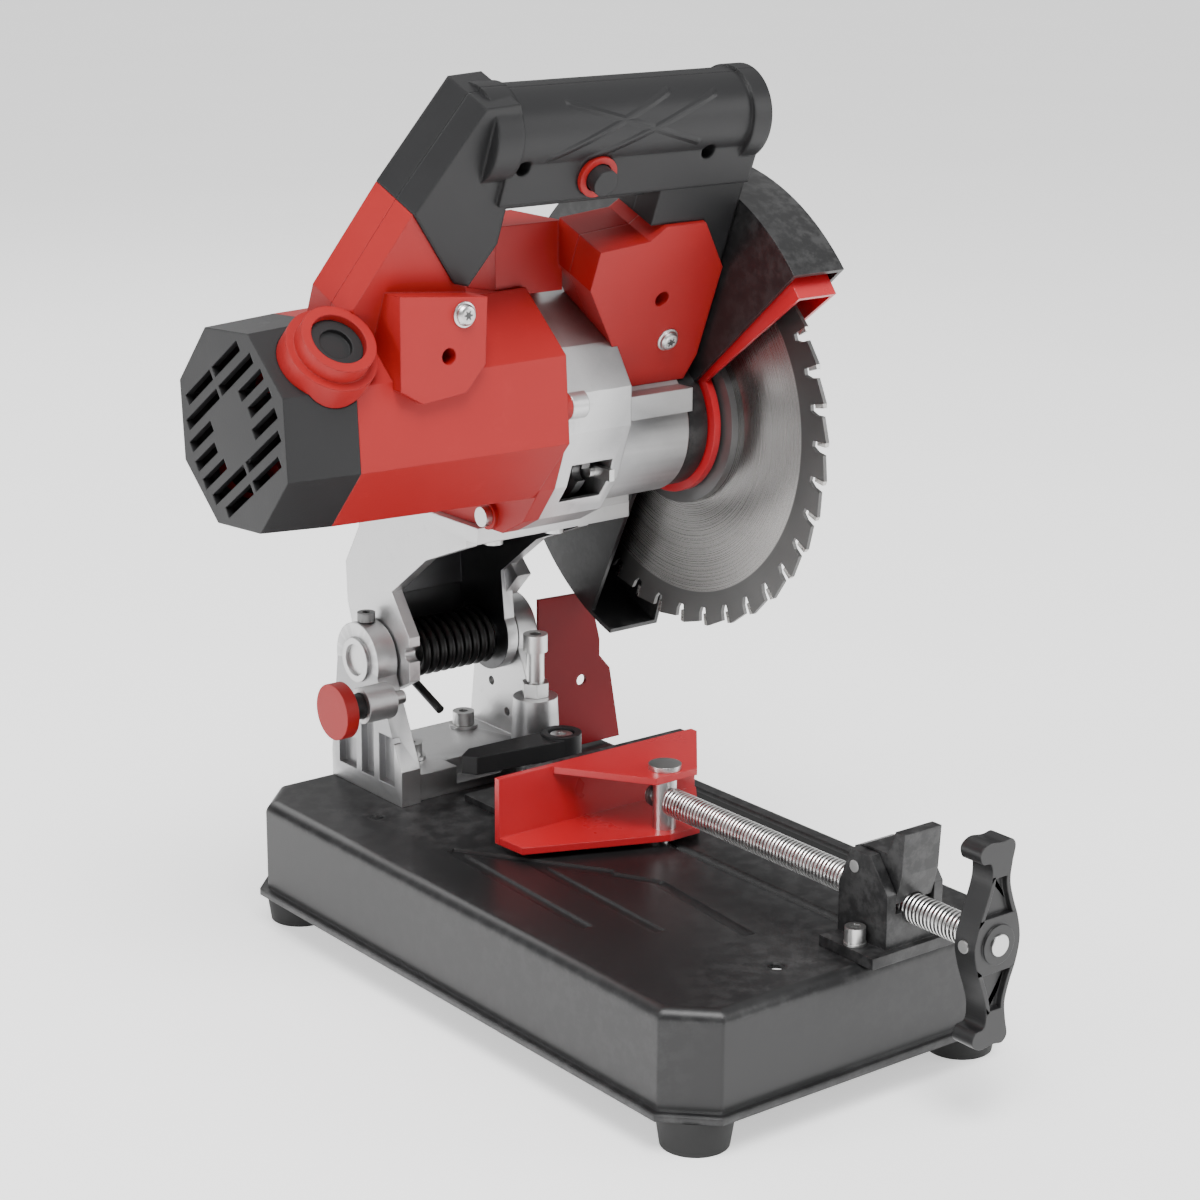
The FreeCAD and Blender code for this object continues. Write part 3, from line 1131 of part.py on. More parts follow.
# slanted louvres on both sides of the plain middle
LOUVRE_TILT = 35.0
louvre_pitch = 8.0
louvre_gap = 4.4
for side in (-1, 1):
    for step in range(-3, 4):
        reach = math.sqrt(34.0 ** 2 - (step * louvre_pitch) ** 2)
        inner = math.sqrt(max(0.0, 14.5 ** 2 - (step * louvre_pitch) ** 2)) + 1.0
        louvre = doc.addObject("Part::Box", fresh("louvre"))
        bind(louvre, Length=cap_wall + 4, Width=reach - inner, Height=louvre_gap)
        turn = FreeCAD.Rotation(V(1, 0, 0), -LOUVRE_TILT)
        start = inner if side > 0 else -reach
        corner = turn.multVec(V(0, start, step * louvre_pitch - louvre_gap / 2))
        put(louvre, S.shell_left - 1, motor_y + corner.y, motor_z + corner.z, turn)
        end_cap_tools.append(louvre)
end_cap = cut("end_cap", end_cap, *end_cap_tools)
# seat for the rear bearing, carried by the plain middle
cup = cut(
    "bearing_cup",
    rod("bearing_cup", "x", S.shell_left + 1, motor_y, motor_z, 14.5, 10),
    rod("bearing_cup", "x", S.shell_left + 4, motor_y, motor_z, 11.0, 10),
)
node("end_cap", join("end_cap", end_cap, cup))
node("motor_housing", housing_solid)
bearings += [
    ring("bearing", "x", S.shell_left + 4, motor_y, motor_z, 11.0, S.shaft_rad + S.run_gap, 6.5),
    ring("bearing", "x", flange_left - 6.9, motor_y, motor_z, 11.0, S.shaft_rad + S.run_gap, 7),
]
node("bearings", group("bearings", *bearings))
node("stator", ring("stator", "x", -108, motor_y, motor_z, S.stator_rad, S.rotor_rad + 1, 48))

brush_caps = []
commutator_rad = 12.0
for sign in (1, -1):
    cap = slanted_rod("brush_cap", S.brush_x, boss_reach - 11, boss_reach - 3, S.brush_cap_rad, sign)
    brush_caps.append(cut("brush_cap", cap, slanted_rod("brush_cap", S.brush_x, boss_reach - 5, boss_reach, 6.5, sign)))
node("brush_caps", group("brush_caps", *brush_caps))


# ---------------------------------------------------------------- toothed outlines
def plain_shape(label, shape, x, y, z):
    """A computed outline as a feature; its sizes come from the sheet."""
    item = doc.addObject("Part::Feature", fresh(label))
    item.Shape = shape
    item.Placement = FreeCAD.Placement(V(dim(x).value, dim(y).value, dim(z).value), FreeCAD.Rotation())
    return item


def extruded_loop(points, thick):
    """A closed loop of (front-up angle, radius) points, extruded along +X."""
    corners = []
    for angle, radius in points:
        turn = math.radians(angle)
        corners.append(V(0, -radius * math.cos(turn), radius * math.sin(turn)))
    corners.append(corners[0])
    return Part.Face(Part.makePolygon(corners)).extrude(V(thick, 0, 0))


def saw_teeth(radius, teeth, deep, phase):
    """Each tooth drops from its tip straight into the gullet, then climbs to the next land."""
    pitch = 360.0 / teeth
    points = []
    for index in range(int(teeth)):
        tip = phase - index * pitch
        points += [
            (tip, radius),
            (tip, radius - deep),
            (tip - 0.18 * pitch, radius - deep - 0.4),
            (tip - 0.30 * pitch, radius - deep * 0.7),
            (tip - 0.34 * pitch, radius - deep * 0.22),
        ]
    return points


def involute_teeth(teeth, module, add, drop, backlash, phase):
    """Spur gear outline; phase is the front-up angle of one tooth's middle."""
    press = math.radians(20)
    pitch_r = teeth * module / 2
    base_r = pitch_r * math.cos(press)
    tip_r = pitch_r + add
    root_r = pitch_r - drop
    half_tooth = math.pi / (2 * teeth) - backlash / (2 * pitch_r) + math.tan(press) - press
    flank = []
    steps = 6
    low_r = max(base_r, root_r)
    for step in range(steps + 1):
        r = low_r + (tip_r - low_r) * step / steps
        roll = math.sqrt(max(0.0, (r / base_r) ** 2 - 1))
        flank.append((half_tooth - (roll - math.atan(roll)), r))
    points = []
    for index in range(int(teeth)):
        middle = phase + index * 360.0 / teeth
        side = [(flank[0][0], root_r)] + flank
        points += [(middle - math.degrees(a), r) for a, r in side]
        points += [(middle + math.degrees(a), r) for a, r in reversed(side)]
    return points


gear_left = S.case_left + 4
gear_long = 12.0
module = S.gear_module.value
# front-up angle of the line from the spindle to the motor shaft
mesh_deg = 90.0 - S.motor_lean.value
wheel_phase = mesh_deg + 180.0 / S.wheel_teeth.value
wheel_loop = involute_teeth(S.wheel_teeth.value, module, 0.6 * module, 1.3 * module, 0.15, wheel_phase)
wheel_disc = plain_shape("wheel_disc", extruded_loop(wheel_loop, gear_long), gear_left, S.spindle_y, S.spindle_z)
node("drive_wheel", cut(
    "drive_wheel", wheel_disc, rod("drive_wheel", "x", gear_left - 1, S.spindle_y, S.spindle_z, S.spindle_rad, 20),
))
pinion_loop = involute_teeth(S.pinion_teeth.value, module, 0.9 * module, 1.15 * module, 0.15, mesh_deg + 180.0)
pinion = plain_shape("pinion", extruded_loop(pinion_loop, gear_long + 1), gear_left - 0.5, motor_y, motor_z)
armature = join(
    "armature",
    rod("armature", "x", S.shell_left + 4, motor_y, motor_z, S.shaft_rad, gear_left - S.shell_left - 6),
    rod("armature", "x", gear_left - 3, motor_y, motor_z, 3.2, 5),
    rod("armature", "x", -106, motor_y, motor_z, S.rotor_rad, 44),
    rod("armature", "x", S.brush_x - 8, motor_y, motor_z, commutator_rad, 16),
    pinion,
)
node("armature", armature)
fan = join("fan", ring("fan", "x", -50, motor_y, motor_z, 31.0, S.shaft_rad, 2), ring("fan", "x", -50, motor_y, motor_z, 9.0, S.shaft_rad, 10))
blades = []
for index in range(9):
    vane = doc.addObject("Part::Box", fresh("fan_vane"))
    bind(vane, Length=9, Width=1.5, Height=22)
    turn = FreeCAD.Rotation(V(1, 0, 0), 40.0 * index)
    corner = turn.multVec(V(0, -0.75, 8.5))
    put(vane, -49, motor_y + corner.y, motor_z + corner.z, turn)
    blades.append(vane)
node("fan", join("fan", fan, *blades))

# ---------------------------------------------------------------- spindle, blade and flanges
blade_left = S.blade_x - S.blade_thick / 2
blade_right = S.blade_x + S.blade_thick / 2
journal_right = bearing_x + bearing_long
spindle = join(
    "spindle",
    rod("spindle", "x", S.case_left - 7.4, S.spindle_y, S.spindle_z, 5.0, 9),
    rod("spindle", "x", S.case_left + 0.5, S.spindle_y, S.spindle_z, S.spindle_rad, blade_right - S.case_left - 0.7),
)
spindle = cut("spindle", spindle, rod("spindle", "x", blade_right - 20, S.spindle_y, S.spindle_z, 4.05, 40))
node("spindle", spindle)
lock_left = gear_left + gear_long + 0.5
lock_disc = ring("lock_disc", "x", lock_left, S.spindle_y, S.spindle_z, 27.5, S.spindle_rad, 4)
lock_reach = math.hypot(S.spindle_y.value - lock_y, S.spindle_z.value - lock_z)
lock_deg = math.degrees(math.atan2(lock_z - S.spindle_z.value, S.spindle_y.value - lock_y))
notches = []
for index in range(4):
    turn = math.radians(lock_deg + 90 * index)
    notch_y = S.spindle_y - lock_reach * math.cos(turn)
    notch_z = S.spindle_z + lock_reach * math.sin(turn)
    notches.append(rod("lock_disc", "x", lock_left - 1, notch_y, notch_z, 3.6, 6))
node("lock_disc", cut("lock_disc", lock_disc, *notches))
node("spindle_lock", join(
    "spindle_lock",
    rod("spindle_lock", "x", lock_left + 5, lock_y, lock_z, lock_pin_rad, S.case_right - 0.5 - lock_left - 5),
    box("spindle_lock", lock_left + 7.5, lock_left + 10, lock_y - 12, lock_y, lock_z - 2.5, lock_z + 2.5),
))

blade_loop = saw_teeth(S.blade_rad.value, S.blade_teeth.value, S.gullet_deep.value, 2.5)
blade_disc = plain_shape("blade_disc", extruded_loop(blade_loop, S.blade_thick.value), blade_left, S.spindle_y, S.spindle_z)
node("saw_blade", cut(
    "saw_blade", blade_disc, rod("saw_blade", "x", blade_left - 1, S.spindle_y, S.spindle_z, S.spindle_rad, 5),
))
inner_flange_left = blade_left - 3.4
node("inner_flange", ring("inner_flange", "x", inner_flange_left, S.spindle_y, S.spindle_z, 38.0, S.spindle_rad, 3.4))
node("outer_flange", ring("outer_flange", "x", blade_right, S.spindle_y, S.spindle_z, 20.0, 4.05, 3.6))
bolt_seat = blade_right + 3.6 + S.seat_gap
blade_bolt = join(
    "blade_bolt",
    hexagon("blade_bolt", "x", bolt_seat, S.spindle_y, S.spindle_z, 13, 5),
    rod("blade_bolt", "x", bolt_seat - 20, S.spindle_y, S.spindle_z, 4.0, 21),
)
node("blade_bolt", blade_bolt)

# ---------------------------------------------------------------- guards
sy, sz = S.spindle_y, S.spindle_z
inner_left = S.guard_left + S.guard_sheet
inner_right = S.guard_right - S.guard_sheet
hub_left = S.nose_right + S.seat_gap
guard = join(
    "upper_guard",
    sector("upper_guard", S.guard_left, sy, sz, S.guard_rad, S.guard_sheet, S.guard_front_deg, S.guard_back_deg),
    sector("upper_guard", inner_right, sy, sz, S.guard_rad, S.guard_sheet, S.guard_front_deg, S.guard_tail_deg),
    cut(
        "upper_guard",
        sector("upper_guard", S.guard_left, sy, sz, S.guard_rad, S.guard_right - S.guard_left, S.guard_front_deg, S.guard_tail_deg),
        rod("upper_guard", "x", S.guard_left - 1, sy, sz, S.guard_rad - S.guard_sheet, S.guard_right - S.guard_left + 2),
    ),
    rod("upper_guard", "x", hub_left, sy, sz, S.nose_rad - 1, inner_left - hub_left),
    rod("upper_guard", "x", inner_left - 1, sy, sz, S.hub_rad, inner_flange_left - inner_left - S.free_gap + 1),
)
guard_tools = [
    rod("upper_guard", "x", hub_left - 1, sy, sz, 17.0, 4),
    rod("upper_guard", "x", hub_left - 1, sy, sz, S.spindle_rad + 1, 40),
    rod("upper_guard", "x", inner_right - 1, sy, sz, 24.0, 6),
]
guard_screws = []
for screw_y, screw_z in guard_screw_places:
    guard_tools.append(rod("upper_guard", "x", hub_left - 1, screw_y, screw_z, 2.1, 40))
    guard_tools.append(rod("upper_guard", "x", hub_left + 9, screw_y, screw_z, 4.2, 40))
    guard_screws.append(join(
        "guard_screw",
        rod("guard_screw", "x", hub_left + 9 + S.seat_gap, screw_y, screw_z, 3.8, 2.8),
        rod("guard_screw", "x", hub_left + 9 - 17, screw_y, screw_z, 2.0, 18),
    ))
node("upper_guard", cut("upper_guard", guard, *guard_tools))
node("guard_screws", group("guard_screws", *guard_screws))

shield_left = inner_left + S.free_gap + 0.4
shield_right = inner_right - 2.0
shield = join(
    "lower_guard",
    sector("lower_guard", shield_left, sy, sz, S.shield_rad, S.shield_sheet, S.shield_front_deg, S.shield_back_deg),
    cut(
        "lower_guard",
        sector("lower_guard", shield_left, sy, sz, S.shield_rad, shield_right - shield_left, S.shield_front_deg, S.shield_back_deg),
        rod("lower_guard", "x", shield_left - 1, sy, sz, S.shield_rad - S.shield_sheet, 40),
    ),
    cut(
        "lower_guard",
        sector("lower_guard", shield_right - S.shield_sheet, sy, sz, S.shield_rad, S.shield_sheet, S.shield_front_deg, S.shield_back_deg),
        rod("lower_guard", "x", shield_left, sy, sz, 68.0, 40),
    ),
    rod("lower_guard", "x", shield_left, sy, sz, S.hub_rad + 6.5, 3.4),
)
shield_bore = rod("lower_guard", "x", shield_left - 1, sy, sz, S.hub_rad + S.run_gap, 10)
node("lower_guard", cut("lower_guard", shield, shield_bore))

# ---------------------------------------------------------------- check and export
doc.recompute()
bad = [item.Name for item in doc.Objects if "Invalid" in item.State or "Error" in item.State]
if bad:
    raise SystemExit("objects that did not recompute: %s" % ", ".join(bad))
os.makedirs("parts", exist_ok=True)
for label, item in nodes.items():
    shape = item.Shape
    if shape.isNull() or not shape.isValid() or not shape.Solids:
        raise SystemExit("bad shape: %s" % label)
    shape.exportStep("parts/%s.step" % label)
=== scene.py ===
import math

import bmesh
import bpy
from mathutils import Matrix, Vector


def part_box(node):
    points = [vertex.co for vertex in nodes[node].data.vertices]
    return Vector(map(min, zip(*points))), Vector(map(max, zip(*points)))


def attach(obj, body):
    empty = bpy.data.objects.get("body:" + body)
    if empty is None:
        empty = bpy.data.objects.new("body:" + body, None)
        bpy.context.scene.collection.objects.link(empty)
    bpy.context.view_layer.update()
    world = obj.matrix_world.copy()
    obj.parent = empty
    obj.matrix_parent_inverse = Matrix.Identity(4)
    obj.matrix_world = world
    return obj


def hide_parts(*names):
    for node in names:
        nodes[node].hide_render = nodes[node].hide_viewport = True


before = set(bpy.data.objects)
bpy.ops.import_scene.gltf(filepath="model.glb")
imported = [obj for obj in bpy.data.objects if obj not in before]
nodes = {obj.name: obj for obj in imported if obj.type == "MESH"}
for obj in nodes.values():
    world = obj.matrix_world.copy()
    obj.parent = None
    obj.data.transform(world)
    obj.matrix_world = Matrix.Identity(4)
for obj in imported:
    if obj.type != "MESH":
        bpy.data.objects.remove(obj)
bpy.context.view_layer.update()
MM = 0.001


# ---------------------------------------------------------------- shader building blocks
class Shader:
    """A small wrapper for building a material's node tree."""

    def __init__(self, name):
        self.material = bpy.data.materials.new(name)
        self.material.use_nodes = True
        self.tree = self.material.node_tree
        self.tree.nodes.clear()
        self.out = self.new("ShaderNodeOutputMaterial")
        self.skin = self.new("ShaderNodeBsdfPrincipled")
        self.link(self.skin.outputs["BSDF"], self.out.inputs["Surface"])
        self.coords = self.new("ShaderNodeTexCoord").outputs["Object"]

    def new(self, kind, **settings):
        node = self.tree.nodes.new(kind)
        for key, value in settings.items():
            setattr(node, key, value)
        return node

    def link(self, source, target):
        self.tree.links.new(source, target)

    def feed(self, socket, value):
        if isinstance(value, bpy.types.NodeSocket):
            self.link(value, socket)
        else:
            socket.default_value = value

    def math(self, operation, a, b=0.0, c=0.0, clamp=False):
        node = self.new("ShaderNodeMath", operation=operation, use_clamp=clamp)
        for socket, value in zip(node.inputs, (a, b, c)):
            self.feed(socket, value)
        return node.outputs[0]

    def noise(self, scale, detail=3.0, rough=0.55, stretch=None):
        node = self.new("ShaderNodeTexNoise")
        source = self.coords
        if stretch:
            mapping = self.new("ShaderNodeMapping")
            mapping.inputs["Scale"].default_value = stretch
            self.link(source, mapping.inputs["Vector"])
            source = mapping.outputs[0]
        self.link(source, node.inputs["Vector"])
        node.inputs["Scale"].default_value = scale
        node.inputs["Detail"].default_value = detail
        node.inputs["Roughness"].default_value = rough
        return node.outputs["Fac"]

    def cells(self, scale):
        node = self.new("ShaderNodeTexVoronoi")
        self.link(self.coords, node.inputs["Vector"])
        node.inputs["Scale"].default_value = scale
        return node.outputs["Distance"]

    def span(self, value, low, high, to_low=0.0, to_high=1.0):
        node = self.new("ShaderNodeMapRange")
        self.feed(node.inputs["Value"], value)
        node.inputs["From Min"].default_value = low
        node.inputs["From Max"].default_value = high
        node.inputs["To Min"].default_value = to_low
        node.inputs["To Max"].default_value = to_high
        return node.outputs["Result"]

    def mix(self, fac, a, b):
        node = self.new("ShaderNodeMix", data_type="RGBA")
        self.feed(node.inputs["Factor"], fac)
        colours = [s for s in node.inputs if s.type == "RGBA"]
        for socket, value in zip(colours, (a, b)):
            self.feed(socket, value if isinstance(value, bpy.types.NodeSocket) else (*value, 1.0))
        return [s for s in node.outputs if s.type == "RGBA"][0]

    def xyz(self):
        node = self.new("ShaderNodeSeparateXYZ")
        self.link(self.coords, node.inputs[0])
        return node.outputs

    def worn_edges(self, low=0.515, high=0.60):
        geometry = self.new("ShaderNodeNewGeometry")
        return self.span(geometry.outputs["Pointiness"], low, high)

    def relief(self, *layers, round_edge=0.5 * MM):
        """Bump layers (height, strength, distance) over a softened edge."""
        normal = None
        if round_edge:
            soft = self.new("ShaderNodeBevel", samples=4)
            soft.inputs["Radius"].default_value = round_edge
            normal = soft.outputs[0]
        for height, strength, distance in layers:
            bump = self.new("ShaderNodeBump")
            bump.inputs["Strength"].default_value = strength
            bump.inputs["Distance"].default_value = distance
            self.link(height, bump.inputs["Height"])
            if normal is not None:
                self.link(normal, bump.inputs["Normal"])
            normal = bump.outputs[0]
        self.link(normal, self.skin.inputs["Normal"])

    def finish(self, colour, roughness, metallic=0.0, specular=0.5, coat=0.0):
        self.feed(self.skin.inputs["Base Color"], colour)
        self.feed(self.skin.inputs["Roughness"], roughness)
        self.feed(self.skin.inputs["Metallic"], metallic)
        self.feed(self.skin.inputs["Specular IOR Level"], specular)
        if coat:
            self.skin.inputs["Coat Weight"].default_value = coat
            self.skin.inputs["Coat Roughness"].default_value = 0.25
        return self.material


# ---------------------------------------------------------------- materials
def black_paint(name="black_paint", round_edge=0.5 * MM):
    s = Shader(name)
    cloud = s.noise(18, 4)
    peel = s.noise(900, 2)
    dust = s.noise(160, 6, 0.7)
    colour = s.mix(cloud, (0.007, 0.007, 0.0075), (0.011, 0.011, 0.0115))
    edge = s.math("MULTIPLY", s.worn_edges(0.53, 0.64), s.span(dust, 0.45, 0.6), clamp=True)
    colour = s.mix(s.math("MULTIPLY", edge, 0.25), colour, (0.12, 0.12, 0.12))
    rough = s.span(cloud, 0.3, 0.7, 0.35, 0.375)
    s.relief((peel, 0.07, 0.15 * MM), (dust, 0.01, 0.2 * MM), round_edge=round_edge)
    return s.finish(colour, rough, specular=0.5)


def red_paint(name="red_enamel", dark=(0.36, 0.004, 0.009), light=(0.44, 0.006, 0.012), specular=0.55, coat=0.25):
    s = Shader(name)
    cloud = s.noise(25, 4)
    peel = s.noise(700, 2)
    colour = s.mix(cloud, dark, light)
    edge = s.worn_edges(0.53, 0.62)
    colour = s.mix(s.math("MULTIPLY", edge, 0.25), colour, tuple(c * 1.4 + 0.02 for c in light))
    s.relief((peel, 0.12, 0.2 * MM))
    return s.finish(colour, s.span(cloud, 0.3, 0.7, 0.26, 0.36), specular=specular, coat=coat)


def moulded(name, dark, light, grain=1500.0, rough=(0.42, 0.55), depth=0.22):
    s = Shader(name)
    cloud = s.noise(14, 5)
    texture = s.noise(grain, 2, 0.6)
    pits = s.cells(grain * 0.7)
    colour = s.mix(cloud, dark, light)
    scuff = s.span(s.noise(60, 8, 0.75), 0.58, 0.72)
    brighter = tuple(min(1.0, c * 1.15 + 0.006) for c in light)
    colour = s.mix(s.math("MULTIPLY", scuff, 0.25), colour, brighter)
    roughness = s.math("ADD", s.span(cloud, 0.3, 0.7, rough[0], rough[1]), s.math("MULTIPLY", scuff, -0.06))
    s.relief((texture, depth, 0.12 * MM), (pits, depth * 0.6, 0.08 * MM), round_edge=0.8 * MM)
    return s.finish(colour, roughness, specular=0.36)


GRIP_GROOVES = ((-48, 352, 8, 374), (-40, 372, 22, 354), (-30, 350, 30, 372))   # x0, z0, x1, z1 in mm
GROOVE_FADE = 2                                                                  # mm


def grip_moulding():
    """Grained black plastic with three shallow crossing grooves."""
    s = Shader("grip_plastic")
    x, _, z = s.xyz()
    grooves = None
    for x0, z0, x1, z1 in GRIP_GROOVES:
        run = math.hypot(x1 - x0, z1 - z0)
        side = s.math("ADD", s.math("MULTIPLY", x, (z1 - z0) / run), s.math("MULTIPLY", z, -(x1 - x0) / run))
        offset = ((z1 - z0) * x0 - (x1 - x0) * z0) / run * MM
        away = s.math("ABSOLUTE", s.math("SUBTRACT", side, offset))
        near = s.span(away, 0.4 * MM, 1.6 * MM, 1.0, 0.0)
        start, end = min(x0, x1), max(x0, x1)
        within = s.math("MULTIPLY", s.span(x, (start - GROOVE_FADE) * MM, start * MM),
                        s.span(x, end * MM, (end + GROOVE_FADE) * MM, 1.0, 0.0))
        mark = s.math("MULTIPLY", near, within)
        grooves = mark if grooves is None else s.math("MAXIMUM", grooves, mark)
    cloud = s.noise(14, 5)
    texture = s.noise(1500, 2, 0.6)
    colour = s.mix(cloud, (0.009, 0.009, 0.0095), (0.015, 0.015, 0.016))
    s.relief((grooves, 0.6, 0.8 * MM), (texture, 0.22, 0.12 * MM), round_edge=1.6 * MM)
    return s.finish(colour, s.span(cloud, 0.3, 0.7, 0.40, 0.50), specular=0.36)


CORE_HALF_WIDTH = 26.6 * MM    # just past the cheeks' inner faces
CORE_TOP = 182 * MM            # just under the arm's top plate


def cast_aluminium(name="cast_aluminium", painted_shade_core=False):
    """Sand-cast aluminium; the core flag paints shade on what lies between the arm's two cheeks."""
    s = Shader(name)
    cloud = s.noise(35, 6, 0.65)
    sand = s.noise(1400, 4, 0.7)
    lumps = s.noise(160, 4, 0.6)
    colour = s.mix(cloud, (0.30, 0.30, 0.31), (0.48, 0.48, 0.48))
    # Lighter edges: partly the casting's polished edges, partly a painted highlight where the edges catch the light.
    edge = s.worn_edges(0.51, 0.58)
    colour = s.mix(s.math("MULTIPLY", edge, 0.6), colour, (0.78, 0.78, 0.78))
    grime = s.span(s.noise(90, 7, 0.7), 0.60, 0.75)
    colour = s.mix(s.math("MULTIPLY", grime, 0.35), colour, (0.26, 0.26, 0.27))
    # Painted shade: the space between the arm's two cheeks is darkened to stand for the shade that falls there.
    if painted_shade_core:
        x, _, z = s.xyz()
        inside = s.math("LESS_THAN", s.math("ABSOLUTE", x), CORE_HALF_WIDTH)
        below = s.math("LESS_THAN", z, CORE_TOP)
        colour = s.mix(s.math("MULTIPLY", s.math("MULTIPLY", inside, below), 0.9), colour, (0.035, 0.035, 0.037))
    rough = s.span(sand, 0.3, 0.7, 0.30, 0.48)
    s.relief((lumps, 0.18, 0.6 * MM), (sand, 0.25, 0.15 * MM), round_edge=0.7 * MM)
    return s.finish(colour, rough, metallic=0.95)


def zinc():
    s = Shader("zinc_plate")
    cloud = s.noise(120, 4)
    fine = s.noise(2500, 2)
    colour = s.mix(cloud, (0.56, 0.56, 0.56), (0.66, 0.66, 0.65))
    s.relief((fine, 0.12, 0.05 * MM), round_edge=0.3 * MM)
    return s.finish(colour, s.span(cloud, 0.3, 0.7, 0.30, 0.38), metallic=1.0)


def dark_steel(name="black_oxide", light=0.08):
    s = Shader(name)
    cloud = s.noise(100, 5)
    fine = s.noise(1800, 3)
    colour = s.mix(cloud, (light * 0.35,) * 3, (light,) * 3)
    edge = s.worn_edges(0.52, 0.6)
    colour = s.mix(s.math("MULTIPLY", edge, 0.4), colour, (light * 4,) * 3)
    s.relief((fine, 0.15, 0.08 * MM), round_edge=0.3 * MM)
    return s.finish(colour, s.span(cloud, 0.3, 0.7, 0.28, 0.42), metallic=0.7)


def rubber():
    s = Shader("rubber")
    cloud = s.noise(60, 5)
    fine = s.noise(1200, 4)
    colour = s.mix(cloud, (0.010, 0.010, 0.010), (0.022, 0.022, 0.022))
    s.relief((fine, 0.3, 0.15 * MM))
    return s.finish(colour, s.span(cloud, 0.3, 0.7, 0.62, 0.78), specular=0.35)


def polar(s, centre_y, centre_z):
    _, y, z = s.xyz()
    dy = s.math("SUBTRACT", y, centre_y)
    dz = s.math("SUBTRACT", z, centre_z)
    radius = s.math("SQRT", s.math("ADD", s.math("MULTIPLY", dy, dy), s.math("MULTIPLY", dz, dz)))
    angle = s.math("ARCTAN2", dz, dy)
    return radius, angle


DARK_BAND = (77.2 * MM, 77.8 * MM)    # where the bright disc gives way to the dark outer band


def ground_blade(centre):
    """Bright turned disc inside a dark outer band, with fine circular grinding marks."""
    s = Shader("ground_blade")
    radius, angle = polar(s, centre.y, centre.z)
    rings = s.new("ShaderNodeTexNoise", noise_dimensions="1D")
    s.link(s.math("MULTIPLY", radius, 2600.0), rings.inputs["W"])
    rings.inputs["Scale"].default_value = 1.0
    rings.inputs["Detail"].default_value = 4.0
    cloud = s.noise(28, 5)
    band = s.span(radius, *DARK_BAND)
    bright = s.mix(rings.outputs["Fac"], (0.36, 0.35, 0.34), (0.44, 0.43, 0.42))
    dark = s.mix(cloud, (0.10, 0.10, 0.10), (0.15, 0.148, 0.145))
    colour = s.mix(band, bright, dark)
    rough = s.math("ADD", s.span(rings.outputs["Fac"], 0.3, 0.7, 0.22, 0.34), s.math("MULTIPLY", band, 0.10))
    s.relief((rings.outputs["Fac"], 0.04, 0.03 * MM), (cloud, 0.02, 0.1 * MM), round_edge=0.15 * MM)
    s.skin.inputs["Anisotropic"].default_value = 0.75
    around = s.new("ShaderNodeCombineXYZ")
    s.link(s.math("MULTIPLY", s.math("SINE", angle), -1.0), around.inputs[1])
    s.link(s.math("COSINE", angle), around.inputs[2])
    s.link(around.outputs[0], s.skin.inputs["Tangent"])
    return s.finish(colour, rough, metallic=1.0)


def threaded(centre, pitch=2.0 * MM):
    """A single-start right-handed thread along Y, with painted shade in its roots."""
    s = Shader("rolled_thread")
    x, y, z = s.xyz()
    angle = s.math("ARCTAN2", s.math("SUBTRACT", z, centre.z), s.math("SUBTRACT", x, centre.x))
    turns = s.math("ADD", s.math("DIVIDE", y, pitch), s.math("DIVIDE", angle, math.tau))
    wave = s.math("PINGPONG", turns, 0.5)
    profile = s.span(wave, 0.08, 0.42)
    cloud = s.noise(150, 4)
    colour = s.mix(cloud, (0.66, 0.66, 0.65), (0.82, 0.82, 0.81))
    # Painted shade: the thread roots are darkened where shade falls in the groove.
    colour = s.mix(s.span(wave, 0.16, 0.0, 0.0, 0.6), colour, (0.16, 0.16, 0.16))
    s.relief((profile, 0.8, 0.6 * MM), round_edge=0.3 * MM)
    return s.finish(colour, s.span(cloud, 0.3, 0.7, 0.24, 0.36), metallic=1.0)


def laminated():
    s = Shader("laminated_core")
    x, _, _ = s.xyz()
    sheets = s.math("PINGPONG", s.math("MULTIPLY", x, 1000.0), 0.5)
    colour = s.mix(sheets, (0.10, 0.10, 0.11), (0.30, 0.29, 0.28))
    s.relief((sheets, 0.4, 0.2 * MM), round_edge=0.3 * MM)
    return s.finish(colour, s.span(s.noise(200), 0.3, 0.7, 0.35, 0.5), metallic=0.8)


def carbide():
    s = Shader("carbide")
    cloud = s.noise(400, 4)
    colour = s.mix(cloud, (0.34, 0.33, 0.32), (0.55, 0.54, 0.52))
    s.relief((s.noise(3000), 0.1, 0.05 * MM), round_edge=0.15 * MM)
    return s.finish(colour, s.span(cloud, 0.3, 0.7, 0.22, 0.34), metallic=1.0)


def floor_paint():
    s = Shader("pale_floor")
    cloud = s.noise(3, 3)
    colour = s.mix(cloud, (0.90, 0.90, 0.90), (0.93, 0.93, 0.93))
    s.relief((s.noise(300), 0.02, 0.2 * MM), round_edge=0.0)
    s.skin.inputs["Emission Color"].default_value = (1.0, 1.0, 1.0, 1.0)
    s.skin.inputs["Emission Strength"].default_value = 0.8
    return s.finish(colour, s.span(cloud, 0.3, 0.7, 0.55, 0.65), specular=0.3)


BLADE = (Vector(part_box("saw_blade")[0]) + Vector(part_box("saw_blade")[1])) / 2
RADIUS = (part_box("saw_blade")[1][2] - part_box("saw_blade")[0][2]) / 2
SCREW = (Vector(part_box("vise_screw")[0]) + Vector(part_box("vise_screw")[1])) / 2

